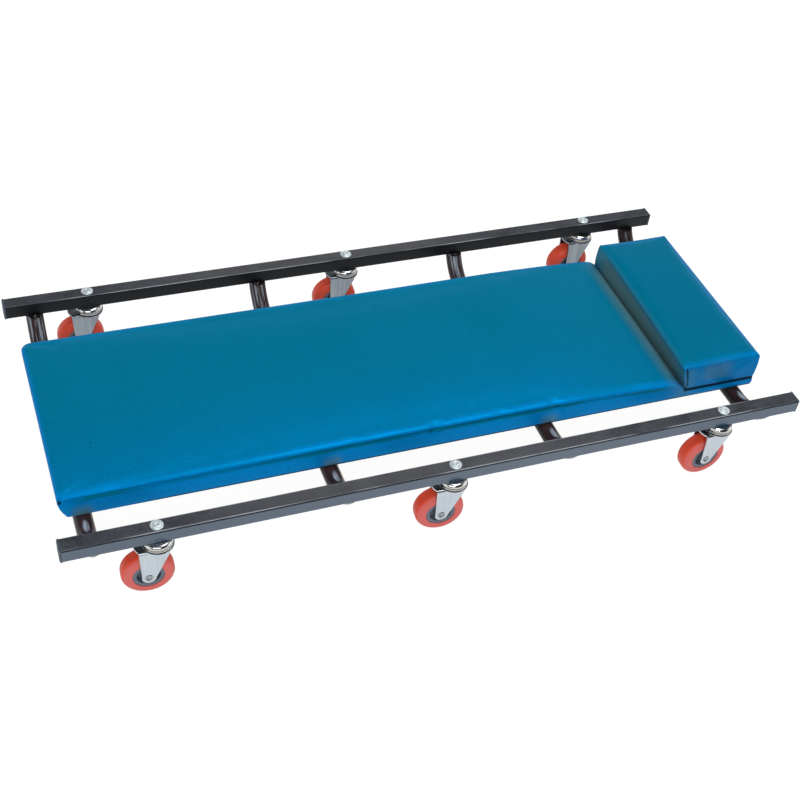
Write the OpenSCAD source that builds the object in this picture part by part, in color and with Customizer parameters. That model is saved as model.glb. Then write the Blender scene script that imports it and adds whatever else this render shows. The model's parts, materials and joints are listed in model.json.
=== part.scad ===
// Mechanic creeper: two square side rails on six swivel casters, four bent cross tubes
// welded under the rails, and a padded deck with a raised headrest at one end.
// +X runs to the head end, +Y to the left rail and +Z up. The origin is on the floor
// under the middle of the frame.

/* [Frame] */
// Overall length of the frame, end caps included
frame_length = 1000; // [970:1:1080]
// Distance between the middles of the two side rails
rail_spacing = 437; // [420:1:480]
// Outer width and height of the square side rails
rail_size = 20; // [18:0.5:24]
// Wall thickness of the side rails
rail_wall = 1.5; // [1:0.1:2.5]
// Outer corner radius of the side rails
rail_corner = 1.6; // [0.8:0.1:3]
// Thickness of an end cap's flange outside the rail
cap_flange = 3; // [2:0.5:6]
// Depth of an end cap's plug inside the rail
cap_plug = 14; // [8:1:25]

/* [Cross tubes] */
// Outer diameter of the round cross tubes
tube_diameter = 23.5; // [20:0.5:27]
// Wall thickness of the cross tubes
tube_wall = 1.5; // [1:0.1:2.5]
// Distance from the underside of the rails down to the middle of the cross tubes
tube_drop = 35; // [34:0.5:38]
// Radius of the cross tubes' bends, to the middle of the tube
tube_bend = 65; // [55:1:75]
// Distance from the middle of the frame to the middle of a cross tube's end
tube_end = 213; // [206:0.5:226]
// Place of the cross tube at the foot end
tube_1_x = -460; // [-462:0.5:-455]
// Place of the second cross tube
tube_2_x = -145; // [-200:1:-100]
// Place of the third cross tube
tube_3_x = 163.5; // [100:0.5:220]
// Place of the cross tube at the head end
tube_4_x = 459.5; // [456:0.5:462]

/* [Deck] */
// Width of the padded deck
deck_width = 287; // [260:1:300]
// Distance from the middle of the frame to the deck's lower foot edge
deck_foot = 480; // [478:1:488]
// Distance from the middle of the frame to the deck's head edge
deck_head = 486; // [480:1:490]
// Thickness of the plywood deck board
board_thickness = 12; // [9:0.5:15]
// Thickness of the deck foam at its edge
deck_foam_height = 21; // [15:0.5:30]
// Height that the deck rises from its edge to its middle
deck_crown = 3; // [0:0.5:8]
// Radius of the deck's upper edge
deck_shoulder = 5; // [4:0.5:8]
// Radius of the deck's corners, seen from above
deck_corner = 7; // [6:0.5:12]
// Length over which the foam is squeezed down towards the headrest
dip_length = 180; // [120:5:220]
// Distance that the deck's foot end leans out over its lower edge
foot_lean = 9; // [0:1:12]
// Thickness of the vinyl cover
cover_thickness = 1; // [0.6:0.1:1.4]

/* [Headrest] */
// Length of the headrest along the frame
headrest_length = 114.5; // [105:0.5:125]
// Width of the headrest
headrest_width = 286; // [258:1:287]
// Thickness of the headrest board
headrest_board_thickness = 9; // [6:0.5:12]
// Thickness of the headrest foam at its edge
headrest_foam_height = 30; // [20:0.5:45]
// Height that the headrest rises from its edge to its middle
headrest_crown = 3.5; // [0:0.5:8]
// Radius of the headrest's upper edge
headrest_shoulder = 5.5; // [4:0.5:8]

/* [Casters] */
// Height of the rails' underside above the floor
caster_height = 88.5; // [87:0.5:96]
// Outer diameter of the wheels
wheel_diameter = 65; // [58:0.5:66]
// Width of the tyres
tyre_width = 23.6; // [20:0.2:24.4]
// Distance from the swivel axis back to the wheel's axle
caster_trail = 13.5; // [11:0.5:15]
// Width of the fork over its two legs
fork_width = 30; // [29.4:0.1:32]
// Thickness of the fork's pressed steel
fork_sheet = 2; // [1.5:0.1:2.2]
// Radius of the top cup
cup_radius = 18.5; // [18.2:0.1:19]
// Diameter of the mounting bolts
bolt_diameter = 8; // [6:0.5:8]
// Diameter of the race balls
ball_diameter = 4.8; // [4:0.1:5]
// Number of balls in a caster's race
ball_count = 14; // [8:1:16]
// Distance from the middle of the frame to the casters at the foot end
foot_caster_x = 386; // [370:1:395]
// Place of the middle casters, just off the middle towards the foot end
middle_caster_x = -9; // [-30:1:30]
// Distance from the middle of the frame to the casters at the head end
head_caster_x = 383; // [370:1:395]
// Turn at rest of the foot end's left caster, in degrees
foot_left_turn = -3; // [-10:1:10]
// Turn at rest of the foot end's right caster, in degrees
foot_right_turn = -3; // [-10:1:10]
// Turn at rest of the middle left caster, in degrees
middle_left_turn = -5; // [-10:1:10]
// Turn at rest of the middle right caster, in degrees
middle_right_turn = -5; // [-10:1:10]
// Turn at rest of the head end's left caster, in degrees
head_left_turn = 1; // [-10:1:10]
// Turn at rest of the head end's right caster, in degrees
head_right_turn = 1; // [-10:1:10]

/* [Hidden] */
// Facets of a full circle
$fn = 48;
// Distance that every cut runs past the surface it opens
overrun = 1;
// Running clearance between pieces that turn on each other
running_gap = 0.1;
// Clearance between pieces that are fitted together
fitting_gap = 0.1;
// Clearance between a cover and what it wraps
wrap_gap = 0.2;

// Rail ends, bolt holes and end caps
rail_length = frame_length - 2 * cap_flange;
rail_bore = rail_size - 2 * rail_wall;
// Bevel round an end cap's outer face
cap_bevel = 1.2;
// Wall of an end cap's hollow plug
cap_wall = 2;
// Clearance of a bolt in its holes
bolt_clearance = 0.2;

// Heights of the cross tubes
tube_middle_z = caster_height - tube_drop;
tube_top_z = tube_middle_z + tube_diameter / 2;
tube_low_z = tube_middle_z - tube_diameter / 2;
tube_places = [tube_1_x, tube_2_x, tube_3_x, tube_4_x];
// Half the length of a cross tube's straight middle
tube_run = tube_end - tube_bend * sin(acos(1 - tube_drop / tube_bend));
// Turn of a bend before its end is cut off flat under the rail, in degrees
tube_turn = 80;

// Heights of the deck, from the hem up
deck_low_z = tube_top_z + fitting_gap;
board_low_z = deck_low_z + cover_thickness;
board_top_z = board_low_z + board_thickness;
deck_flat_z = board_top_z + wrap_gap + cover_thickness;
board_inset = cover_thickness + wrap_gap;
headrest_foot_x = deck_head - headrest_length;
// Gap between the end of the padded deck and the headrest's face
headrest_gap = 0.5;
dip_end_x = headrest_foot_x - headrest_gap;
// Width of the cover's hem under a board
hem = 30;
// Width of the hem under the headrest's own board
headrest_hem = 16;
// Distance that a pad's long sides are drawn in at their middle
deck_draw = 1.5;
// Distance that the headrest's long sides are drawn in at their middle
headrest_draw = 1.5;
// Distance that a pad's sides swell out at half height
side_swell = 1;

// Height of the squeezed foam, as shares of the dip length and of the foam height
dip_shares = [
    [0, 0], [0.01, 0.36], [0.045, 0.5], [0.11, 0.6], [0.22, 0.7], [0.42, 0.82], [0.7, 0.93], [1, 1]
];
// Least share of the shoulder that the cover keeps where it lies on the bare board
flat_share = 0.03;

// Heights of the headrest
headrest_low_z = deck_flat_z + fitting_gap;
headrest_board_low_z = headrest_low_z + cover_thickness;
headrest_board_top_z = headrest_board_low_z + headrest_board_thickness;
headrest_flat_z = headrest_board_top_z + wrap_gap + cover_thickness;
// Radius of the headrest's corners, seen from above
headrest_corner = 6;

// Distance of the points on a pad's long sides from its ends
clear_end = 48;
// Places along the deck's long sides between the dip and the foot end, and along the headrest's
body_shares = [0.33, 0.66, 1];
headrest_side_shares = [1, 0.5, 0, -0.5, -1];

// Points round a quarter corner, and the levels over a pad's shoulder
corner_steps = 3;
shoulder_angles = [90, 60, 30];
// Levels down a pad's side, each as shares of its height, lean, draw and swell
cover_side_shares = [[1, 1, 1, 0], [0.75, 0.92, 0.56, 0.7], [0.5, 0.7, 0.25, 1], [0, 0, 0, 0]];
foam_side_shares = [[1, 1, 1, 0], [0.75, 0.92, 0.75, 0], [0, 0.55, 0, 0]];
// Rings on a pad's top, each as shares of its half width, of the rings' reach and of the crown
top_shares = [[0.3, 1, 1], [0.62, 0.65, 0.7], [0.88, 0.3, 0.27]];
// Points along half of a pad's short ends, as shares
end_shares = [0.3, 0.7];
// Distance that the rings on a pad's top reach in from its short ends
ring_reach = 30;
// Corner radius of the rings on a pad's top and of the hem
ring_corner = 3;
// Corner radius of the foam where the headrest squeezes it
squeezed_corner = 1.5;
// Share of the rings' insets that the foam keeps where the headrest squeezes it
squeezed_share = 0.1;

// Screws that hold the deck board to the cross tubes
deck_screw_diameter = 6;
deck_screw_head = 12;
deck_screw_head_height = 3.5;
// Distance of the deck screws from the middle of the deck
deck_screw_y = 90;
// Clearance of the deck screws in the tubes
deck_screw_clearance = 0.3;
// Distance that a screw's tip stays below what it ends in
tip_setback = 1;
tee_flange_radius = 9.5;
tee_flange = 1.5;
tee_barrel_radius = 3.9;
tee_barrel_length = 9;

// Screws that hold the headrest down
headrest_screw_diameter = 4.5;
headrest_screw_head = 9;
headrest_screw_head_height = 2.5;
// Distance of the headrest screws from the middle of the deck
headrest_screw_y = 95;
// Distance of the headrest screws from the headrest's foot edge
headrest_screw_near = 24;
headrest_screw_far = 58;
headrest_screw_places = [
    for (x = [headrest_screw_near, headrest_screw_far], side = [-1, 1])
        [headrest_foot_x + x, side * headrest_screw_y]
];

// Staples that hold the hem to the board
staple_crown = 12;
staple_leg = 8;
staple_wire = 1.2;
staple_thickness = 0.7;
// Distance of the staples from the deck's lower edge
staple_inset = 5;
// Places of the staples between two cross tubes, and along an end
staple_bay_shares = [0.25, 0.5, 0.75];
staple_end_shares = [-0.6, 0, 0.6];

// Caster heights, measured down from the rails' underside
wheel_radius = wheel_diameter / 2;
axle_depth = caster_height - wheel_radius;
cup_sheet = 1.6;
cup_height = 8;
cup_shoulder = 5;
cup_lip = 0.95;
ball_radius = ball_diameter / 2;
ball_ring = 13.6;
ball_depth = cup_sheet + running_gap + ball_radius;
race_radius = ball_radius + running_gap;
// Depth of the ball groove in the fork's crown
race_groove = 0.8;
crown_top = ball_depth + race_radius - race_groove;
crown_radius = 19.8;
// Inner and outer radius of the slope round the crown
crown_slope_in = 15.2;
crown_slope_out = 17.2;
// Difference in radius between the slope's outer and inner face
crown_slope_step = 1;
// Depth of the fork's flat shoulder below the rails' underside
shoulder_depth = 10;
fork_bend = 3;
// Distance from the swivel axis back to the legs' rear edge and forward to their front
fork_back = 24.5;
fork_front = 12.5;
// Height of the legs' upright front edge
fork_front_drop = 4;
fork_tip_radius = 8.5;
// Share of the tip's radius at which the legs' straight edges run into it
leg_run_in = 0.96;
// Distance that the crown's rear edge bows out past the legs
back_bow = 4.5;
back_bow_half = 12;
back_bow_radius = (pow(back_bow_half, 2) + pow(back_bow, 2)) / (2 * back_bow);

kingpin_radius = 6.5;
kingpin_bore = bolt_diameter / 2 + bolt_clearance;
kingpin_flange_radius = 11;
kingpin_flange = 1.5;
kingpin_depth = crown_top + fork_sheet + running_gap + kingpin_flange;

bolt_head_radius = 9.2;
bolt_flange = 1;
bolt_head_height = 4.2;
bolt_socket = 5;
bolt_socket_depth = 2.4;
// Distance that the bolt's end stands out of its nut
bolt_stand_out = 1;
nut_width = 13;
nut_height = 6.5;
nut_collar_radius = 5.4;
nut_collar = 1.5;

axle_radius = 4;
axle_bore = 2.8;
axle_head_radius = 5.3;
axle_head = 0.8;
bush_radius = 5;
hub_radius = 19.5;
hub_rim = 5;
hub_rim_setback = 0.7;
hub_boss_radius = 8.5;
hub_web = 7;
// Side play of the hub between the fork's legs
hub_play = 0.3;
tyre_shoulder = 8;
leg_gap = fork_width - 2 * fork_sheet;

// Names and places of the six casters
caster_names = ["foot_left", "foot_right", "middle_left", "middle_right", "head_left", "head_right"];
caster_places = [
    [-foot_caster_x, rail_spacing / 2, foot_left_turn],
    [-foot_caster_x, -rail_spacing / 2, foot_right_turn],
    [middle_caster_x, rail_spacing / 2, middle_left_turn],
    [middle_caster_x, -rail_spacing / 2, middle_right_turn],
    [head_caster_x, rail_spacing / 2, head_left_turn],
    [head_caster_x, -rail_spacing / 2, head_right_turn]
];
caster_pieces = ["cup", "balls", "fork", "axle", "hub", "tyre"];
fixed_nodes = [
    "rail_left", "rail_right",
    "cap_foot_left", "cap_foot_right", "cap_head_left", "cap_head_right",
    "cross_tube_1", "cross_tube_2", "cross_tube_3", "cross_tube_4",
    "deck_board", "deck_foam", "deck_cover",
    "headrest_board", "headrest_foam", "headrest_cover",
    "deck_screws", "deck_tee_nuts", "headrest_screws", "cover_staples",
    "caster_bolts", "caster_nuts", "caster_kingpins"
];

frame_black = [0.16, 0.17, 0.19];
cap_black = [0.11, 0.12, 0.13];
vinyl_blue = [0, 0.42, 0.62];
foam_grey = [0.75, 0.75, 0.7];
plywood = [0.72, 0.56, 0.36];
zinc = [0.8, 0.81, 0.83];
steel = [0.6, 0.61, 0.63];
hub_grey = [0.27, 0.28, 0.33];
tyre_red = [0.85, 0.33, 0.28];

// Board with round corners, from z = low up
module plate(x_low, x_high, width, corner, low, thickness) {
    length = x_high - x_low;
    translate([(x_low + x_high) / 2, 0, low])
        linear_extrude(thickness) {
            square([length - 2 * corner, width], center = true);
            square([length, width - 2 * corner], center = true);
            for (x = [-1, 1], y = [-1, 1])
                translate([x * (length / 2 - corner), y * (width / 2 - corner)])
                    circle(corner);
        }
}

// Upright cylinder from z = low to z = high
module post(radius, low, high) {
    translate([0, 0, low])
        cylinder(r = radius, h = high - low);
}

// Side rails with the holes for the casters' bolts
module rail(side) {
    color(frame_black)
        translate([0, side * rail_spacing / 2, caster_height + rail_size / 2])
            difference() {
                rotate([90, 0, 90])
                    linear_extrude(rail_length, center = true)
                        rail_section();
                for (place = caster_places)
                    if (place.y * side > 0)
                        translate([place.x, 0, 0])
                            post(bolt_diameter / 2 + bolt_clearance, -rail_size, rail_size);
            }
}

module rail_section() {
    difference() {
        union() {
            square([rail_size - 2 * rail_corner, rail_size], center = true);
            square([rail_size, rail_size - 2 * rail_corner], center = true);
            for (x = [-1, 1], y = [-1, 1])
                translate([x, y] * (rail_size / 2 - rail_corner))
                    circle(rail_corner);
        }
        square(rail_bore, center = true);
    }
}

// End cap with a bevelled flange and a hollow plug
module end_cap(toward, side) {
    color(cap_black)
        translate([toward * rail_length / 2, side * rail_spacing / 2, caster_height + rail_size / 2])
            mirror([toward < 0 ? 1 : 0, 0, 0]) {
                hull() {
                    block(0, cap_flange - cap_bevel, rail_size);
                    block(0, cap_flange, rail_size - 2 * cap_bevel);
                }
                difference() {
                    block(-cap_plug, 0, rail_bore - 2 * fitting_gap);
                    block(-cap_plug - overrun, 0, rail_bore - 2 * fitting_gap - 2 * cap_wall);
                }
            }
}

// Square block along X
module block(x_low, x_high, width) {
    translate([x_low, -width / 2, -width / 2])
        cube([x_high - x_low, width, width]);
}

// Cross tube, bent up at both ends and cut off flat under the rails
module cross_tube(x) {
    color(frame_black)
        translate([x, 0, tube_middle_z])
            difference() {
                union() {
                    rotate([90, 0, 0])
                        linear_extrude(2 * tube_run, center = true)
                            tube_section();
                    for (side = [0, 1])
                        mirror([0, side, 0])
                            translate([0, tube_run, tube_bend])
                                rotate([0, 90, 0])
                                    rotate_extrude(angle = tube_turn)
                                        translate([tube_bend, 0])
                                            tube_section();
                }
                translate([-tube_diameter, -rail_spacing, tube_drop])
                    cube([2 * tube_diameter, 2 * rail_spacing, 2 * tube_bend]);
                for (side = [-1, 1])
                    translate([0, side * deck_screw_y, 0])
                        post(deck_screw_diameter / 2 + deck_screw_clearance, -tube_diameter, tube_diameter);
            }
}

module tube_section() {
    difference() {
        circle(d = tube_diameter);
        circle(d = tube_diameter - 2 * tube_wall);
    }
}

// Height of the deck foam as a share of its full height, squeezed down towards the headrest
function dip(x) = lookup((dip_end_x - x) / dip_length, dip_shares);

// Half of a pad's outline, y above zero, from the middle of its head end round to the middle
// of its foot end, with its long side drawn in by draw(x)
function half_outline(foot, head, half_width, foot_r, head_r, side_x, draw) = [
    for (s = end_shares)
        [head, s * (half_width - head_r)],
    for (i = [0:corner_steps])
        let (a = 90 * i / corner_steps)
            [head - head_r * (1 - cos(a)), half_width - head_r * (1 - sin(a))],
    for (x = side_x)
        [x, half_width - draw(x)],
    for (i = [0:corner_steps])
        let (a = 90 * (1 - i / corner_steps))
            [foot + foot_r * (1 - cos(a)), half_width - foot_r * (1 - sin(a))],
    for (i = [len(end_shares) - 1:-1:0])
        [foot, end_shares[i] * (half_width - foot_r)]
];

// Closed ring of points over a half outline, at the heights that height(x) gives
function ring(half, height) = concat(
    [for (p = half) [p.x, p.y, height(p.x)]],
    [for (i = [len(half) - 1:-1:0]) [half[i].x, -half[i].y, height(half[i].x)]]
);

// Rings of a skin that lies t inside a pad's outer face, from its top down to low.
// The pad lies along X. full(x) is the height of its foam as a share of rise. end is where the
// skin ends at the head, which is short of head only for a foam that is squeezed there.
function skin(t, low, levels, foot, head, half_width, corner, shoulder, flat_z, rise, crown,
    draw, lean, full, side_x, end, end_corner, end_share) = let (
    soft = function (x) max(full(x), flat_share),
    edge = function (x) flat_z + rise * full(x) - t,
    outline = function (inset, width, lean_share, draw_share) half_outline(
        foot + inset - lean * lean_share,
        end - inset * end_share,
        width,
        max(corner - inset, ring_corner),
        end_corner > 0 ? end_corner : max(corner - inset, ring_corner),
        side_x,
        function (x) draw * draw_share * soft(x) * sin(180 * (x - foot) / (head - foot)))
) [
    for (s = top_shares)
        ring(
            outline(shoulder + s[1] * ring_reach, s[0] * (half_width - shoulder), 1, s[0]),
            function (x) edge(x) + s[2] * crown * full(x)
        ),
    for (a = shoulder_angles)
        let (inset = shoulder - (shoulder - t) * cos(a))
            ring(
                outline(inset, half_width - inset, 1, 1),
                function (x) edge(x) - (shoulder - t) * soft(x) * (1 - sin(a))
            ),
    for (s = levels)
        let (inset = t - side_swell * s[3])
            ring(
                outline(inset, half_width - inset, s[1], s[2]),
                function (x) low + s[0] * (edge(x) - (shoulder - t) * soft(x) - low)
            )
];

// Ring round the opening in a cover's hem
function hem_ring(foot, head, half_width, width, side_x, z) = ring(
    half_outline(foot + width, head - width, half_width - width, ring_corner, ring_corner, side_x,
        function (x) 0),
    function (x) z
);

// Places along the pads' long sides where the outlines have points
deck_dip_x = [for (d = dip_shares) dip_end_x - d[0] * dip_length];
deck_body_x = [
    for (s = body_shares)
        dip_end_x - dip_length + s * (clear_end + dip_length - dip_end_x - deck_foot)
];
deck_flat_x = [deck_head - clear_end, (deck_head - clear_end + dip_end_x) / 2];
headrest_side_x = [for (s = headrest_side_shares) s * (headrest_width / 2 - clear_end)];

function deck_skin(t, low, levels, side_x, end = deck_head, end_corner = 0, end_share = 1) = skin(
    t, low, levels, -deck_foot, deck_head, deck_width / 2, deck_corner, deck_shoulder, deck_flat_z,
    deck_foam_height, deck_crown, deck_draw, foot_lean, function (x) dip(x), side_x, end, end_corner,
    end_share
);

// The headrest lies across the deck, so its long sides face the foot and the head
function headrest_skin(t, low, levels) = skin(
    t, low, levels, -headrest_width / 2, headrest_width / 2, headrest_length / 2, headrest_corner,
    headrest_shoulder, headrest_flat_z, headrest_foam_height, headrest_crown, headrest_draw, 0,
    function (x) 1, headrest_side_x, headrest_width / 2, 0, 1
);

function reversed(list) = [for (i = [len(list) - 1:-1:0]) list[i]];

// Solid between a list of rings, closed across the first and the last. The ends of the closing
// faces are fans, as the points along a pad's short end lie on one line.
module ring_solid(rings) {
    count = len(rings[0]);
    last = len(rings) - 1;
    fan = len(end_shares) + 1;
    half = count / 2;
    cap = [
        for (j = [-fan - 1:fan - 2])
            [fan, (j + count) % count, (j + count + 1) % count],
        for (i = [fan:half - fan - 2])
            [i, i + 1, count - 1 - i],
        for (i = [fan:half - fan - 2])
            [i + 1, count - 2 - i, count - 1 - i],
        for (j = [half - fan:half + fan - 1])
            [half - fan - 1, j, j + 1]
    ];
    polyhedron(
        points = [for (r = rings, p = r) p],
        faces = [
            for (f = cap) [f[0], f[2], f[1]],
            for (f = cap) [last * count + f[0], last * count + f[1], last * count + f[2]],
            for (k = [0:last - 1], i = [0:count - 1])
                [k * count + i, k * count + (i + 1) % count, (k + 1) * count + (i + 1) % count],
            for (k = [0:last - 1], i = [0:count - 1])
                [k * count + i, (k + 1) * count + (i + 1) % count, (k + 1) * count + i]
        ]
    );
}

// Skin of vinyl over a pad, turned in under its board
module cover(outer, hem_low, hem_high, inner) {
    ring_solid(concat(outer, [hem_low], [hem_high], reversed(inner)));
}

// Deck board with the holes for the tee nuts and the headrest's screws
module deck_board() {
    color(plywood)
        difference() {
            plate(board_inset - deck_foot, deck_head - board_inset, deck_width - 2 * board_inset,
                deck_corner + board_inset, board_low_z, board_thickness);
            each_deck_screw() {
                post(tee_barrel_radius + fitting_gap, board_low_z - overrun, board_top_z + overrun);
                post(tee_flange_radius + fitting_gap, board_top_z - tee_flange, board_top_z + overrun);
            }
            each_headrest_screw()
                post(headrest_screw_diameter / 2 + fitting_gap, board_low_z - overrun,
                    board_top_z + overrun);
        }
}

module deck_foam() {
    foam_end = dip_end_x - dip_shares[1][0] * dip_length;
    side_x = concat([for (x = deck_dip_x) if (x < foam_end) x], deck_body_x);
    color(foam_grey)
        ring_solid(deck_skin(board_inset, board_top_z, foam_side_shares, side_x, foam_end,
            squeezed_corner, squeezed_share));
}

module deck_cover() {
    side_x = concat(deck_flat_x, deck_dip_x, deck_body_x);
    color(vinyl_blue)
        difference() {
            cover(
                deck_skin(0, deck_low_z, cover_side_shares, side_x),
                hem_ring(-deck_foot, deck_head, deck_width / 2, hem, side_x, deck_low_z),
                hem_ring(-deck_foot, deck_head, deck_width / 2, hem, side_x, board_low_z),
                deck_skin(cover_thickness, board_low_z, cover_side_shares, side_x)
            );
            each_headrest_screw()
                post(headrest_screw_diameter / 2 + fitting_gap, board_top_z, deck_flat_z + overrun);
            each_deck_screw()
                post(deck_screw_diameter / 2 + fitting_gap, deck_low_z - overrun, board_low_z + overrun);
        }
}

module headrest_board() {
    color(plywood)
        difference() {
            plate(headrest_foot_x + board_inset, deck_head - board_inset, headrest_width - 2 * board_inset,
                headrest_corner + board_inset, headrest_board_low_z, headrest_board_thickness);
            each_headrest_screw()
                post(headrest_screw_diameter / 2, headrest_board_low_z - overrun,
                    headrest_board_top_z - tip_setback);
        }
}

// Turns a pad that lies along X to lie across the deck under the headrest's outline
module across() {
    translate([headrest_foot_x + headrest_length / 2, 0, 0])
        rotate([0, 0, 90])
            children();
}

module headrest_foam() {
    color(foam_grey)
        across()
            ring_solid(headrest_skin(board_inset, headrest_board_top_z, foam_side_shares));
}

module headrest_cover() {
    half = headrest_width / 2;
    color(vinyl_blue)
        across()
            cover(
                headrest_skin(0, headrest_low_z, cover_side_shares),
                hem_ring(-half, half, headrest_length / 2, headrest_hem, headrest_side_x, headrest_low_z),
                hem_ring(-half, half, headrest_length / 2, headrest_hem, headrest_side_x,
                    headrest_board_low_z),
                headrest_skin(cover_thickness, headrest_board_low_z, cover_side_shares)
            );
}

module each_deck_screw() {
    for (x = tube_places, side = [-1, 1])
        translate([x, side * deck_screw_y, 0])
            children();
}

module each_headrest_screw() {
    for (place = headrest_screw_places)
        translate([place.x, place.y, 0])
            children();
}

module deck_screws() {
    color(zinc)
        each_deck_screw() {
            post(deck_screw_head / 2, tube_low_z - deck_screw_head_height, tube_low_z);
            post(deck_screw_diameter / 2, tube_low_z, board_top_z - tip_setback);
        }
}

module deck_tee_nuts() {
    color(steel)
        each_deck_screw()
            difference() {
                union() {
                    post(tee_flange_radius, board_top_z - tee_flange, board_top_z);
                    post(tee_barrel_radius, board_top_z - tee_barrel_length, board_top_z);
                }
                post(deck_screw_diameter / 2 + fitting_gap, board_low_z, board_top_z + overrun);
            }
}

module headrest_screws() {
    color(zinc)
        each_headrest_screw() {
            post(headrest_screw_head / 2, board_low_z - headrest_screw_head_height, board_low_z);
            post(headrest_screw_diameter / 2, board_low_z, headrest_board_top_z - tip_setback);
        }
}

// Staple with its crown along X under the hem
module staple() {
    translate([-staple_crown / 2, -staple_wire / 2, deck_low_z - staple_thickness])
        cube([staple_crown, staple_wire, staple_thickness]);
    for (side = [0, 1])
        mirror([side, 0, 0])
            translate([staple_crown / 2 - staple_wire, -staple_wire / 2, deck_low_z])
                cube([staple_wire, staple_wire, staple_leg]);
}

module cover_staples() {
    color(steel) {
        for (bay = [0:len(tube_places) - 2], s = staple_bay_shares, side = [-1, 1])
            translate([
                tube_places[bay] + s * (tube_places[bay + 1] - tube_places[bay]),
                side * (deck_width / 2 - staple_inset), 0
            ])
                staple();
        for (x = [staple_inset - deck_foot, deck_head - staple_inset], s = staple_end_shares)
            translate([x, s * deck_width / 2, 0])
                rotate([0, 0, 90])
                    staple();
    }
}

// Puts a piece at a caster: the swivel axis is at its origin, z = 0 at the rail's underside
module at_caster(place) {
    translate([place.x, place.y, caster_height])
        rotate([0, 0, place.z])
            children();
}

module caster_bolts() {
    end = kingpin_depth + nut_height + nut_collar + bolt_stand_out;
    dome_radius = (pow(bolt_head_radius, 2) + pow(bolt_head_height - bolt_flange, 2))
        / (2 * (bolt_head_height - bolt_flange));
    color(zinc)
        for (place = caster_places)
            at_caster(place) {
                difference() {
                    union() {
                        post(bolt_head_radius, rail_size, rail_size + bolt_flange);
                        intersection() {
                            translate([0, 0, rail_size + bolt_head_height - dome_radius])
                                sphere(dome_radius);
                            post(bolt_head_radius, rail_size + bolt_flange,
                                rail_size + 2 * bolt_head_height);
                        }
                    }
                    translate([0, 0, rail_size + bolt_head_height - bolt_socket_depth])
                        cylinder(d = bolt_socket / cos(30), h = bolt_socket_depth + overrun, $fn = 6);
                }
                post(bolt_diameter / 2, -end, rail_size);
            }
}

module caster_nuts() {
    color(zinc)
        for (place = caster_places)
            at_caster(place)
                difference() {
                    union() {
                        translate([0, 0, -kingpin_depth - nut_height])
                            cylinder(d = nut_width / cos(30), h = nut_height, $fn = 6);
                        post(nut_collar_radius, -kingpin_depth - nut_height - nut_collar, -kingpin_depth);
                    }
                    post(bolt_diameter / 2 + fitting_gap, -2 * (kingpin_depth + nut_height), 0);
                }
}

module caster_kingpins() {
    color(steel)
        for (place = caster_places)
            at_caster(place)
                difference() {
                    union() {
                        post(kingpin_radius, -kingpin_depth, 0);
                        post(kingpin_flange_radius, -kingpin_depth, kingpin_flange - kingpin_depth);
                    }
                    post(kingpin_bore, -kingpin_depth - overrun, overrun);
                }
}

// Upside-down dish with a rounded shoulder, as a half section
module dish_section(radius, height, shoulder) {
    intersection() {
        union() {
            translate([0, -height])
                square([radius, height - shoulder]);
            translate([0, -height])
                square([radius - shoulder, height]);
            translate([radius - shoulder, -shoulder])
                circle(shoulder);
        }
        translate([0, -height])
            square([radius, height]);
    }
}

// Upper race: a pressed cup with a rolled lip
module cup() {
    color(zinc)
        rotate_extrude()
            difference() {
                union() {
                    dish_section(cup_radius, cup_height, cup_shoulder);
                    translate([cup_radius - cup_sheet / 2, -cup_height])
                        circle(cup_lip);
                }
                translate([0, -cup_sheet])
                    dish_section(cup_radius - cup_sheet, cup_height, cup_shoulder - cup_sheet);
                translate([0, -cup_height])
                    square([kingpin_radius + fitting_gap / 2, cup_height + overrun]);
            }
}

module balls() {
    color(steel)
        for (i = [0:ball_count - 1])
            rotate([0, 0, 360 * i / ball_count])
                translate([ball_ring, 0, -ball_depth])
                    sphere(ball_radius);
}

// Crown of the fork: a raised middle with the ball groove, a slope and a flat rim
module crown() {
    rotate_extrude()
        difference() {
            polygon([
                [0, -crown_top],
                [crown_slope_in, -crown_top],
                [crown_slope_out, -shoulder_depth],
                [crown_radius, -shoulder_depth],
                [crown_radius, -shoulder_depth - fork_sheet],
                [crown_slope_out - crown_slope_step, -shoulder_depth - fork_sheet],
                [crown_slope_in - crown_slope_step, -crown_top - fork_sheet],
                [0, -crown_top - fork_sheet]
            ]);
            translate([ball_ring, -ball_depth])
                circle(race_radius);
            translate([0, -crown_top - 2 * fork_sheet])
                square([kingpin_radius + running_gap, 4 * fork_sheet]);
        }
}

// Point where a line from p touches the circle of radius r round c, on the side given
function touch(p, c, r, side) = let (
    d = norm(p - c),
    a = atan2(p.y - c.y, p.x - c.x) + side * acos(r / d)
) c + r * [cos(a), sin(a)];

// Side view of the fork's legs, x along the frame and y up
module leg_outline() {
    tip = [-caster_trail, -axle_depth];
    back = [-fork_back, -shoulder_depth];
    front = [fork_front, -shoulder_depth - fork_front_drop];
    polygon([
        back,
        touch(back, tip, fork_tip_radius * leg_run_in, 1),
        tip,
        touch(front, tip, fork_tip_radius * leg_run_in, -1),
        front,
        [fork_front, -shoulder_depth]
    ]);
    translate(tip)
        circle(fork_tip_radius);
}

// End view of the fork's bent sheet, filled down to the depth given
module channel_outline(width, top, bend, depth) {
    translate([-width / 2, -depth])
        square([width, depth - top - bend]);
    translate([bend - width / 2, -depth])
        square([width - 2 * bend, depth - top]);
    for (side = [-1, 1])
        translate([side * (width / 2 - bend), -top - bend])
            circle(bend);
}

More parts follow.
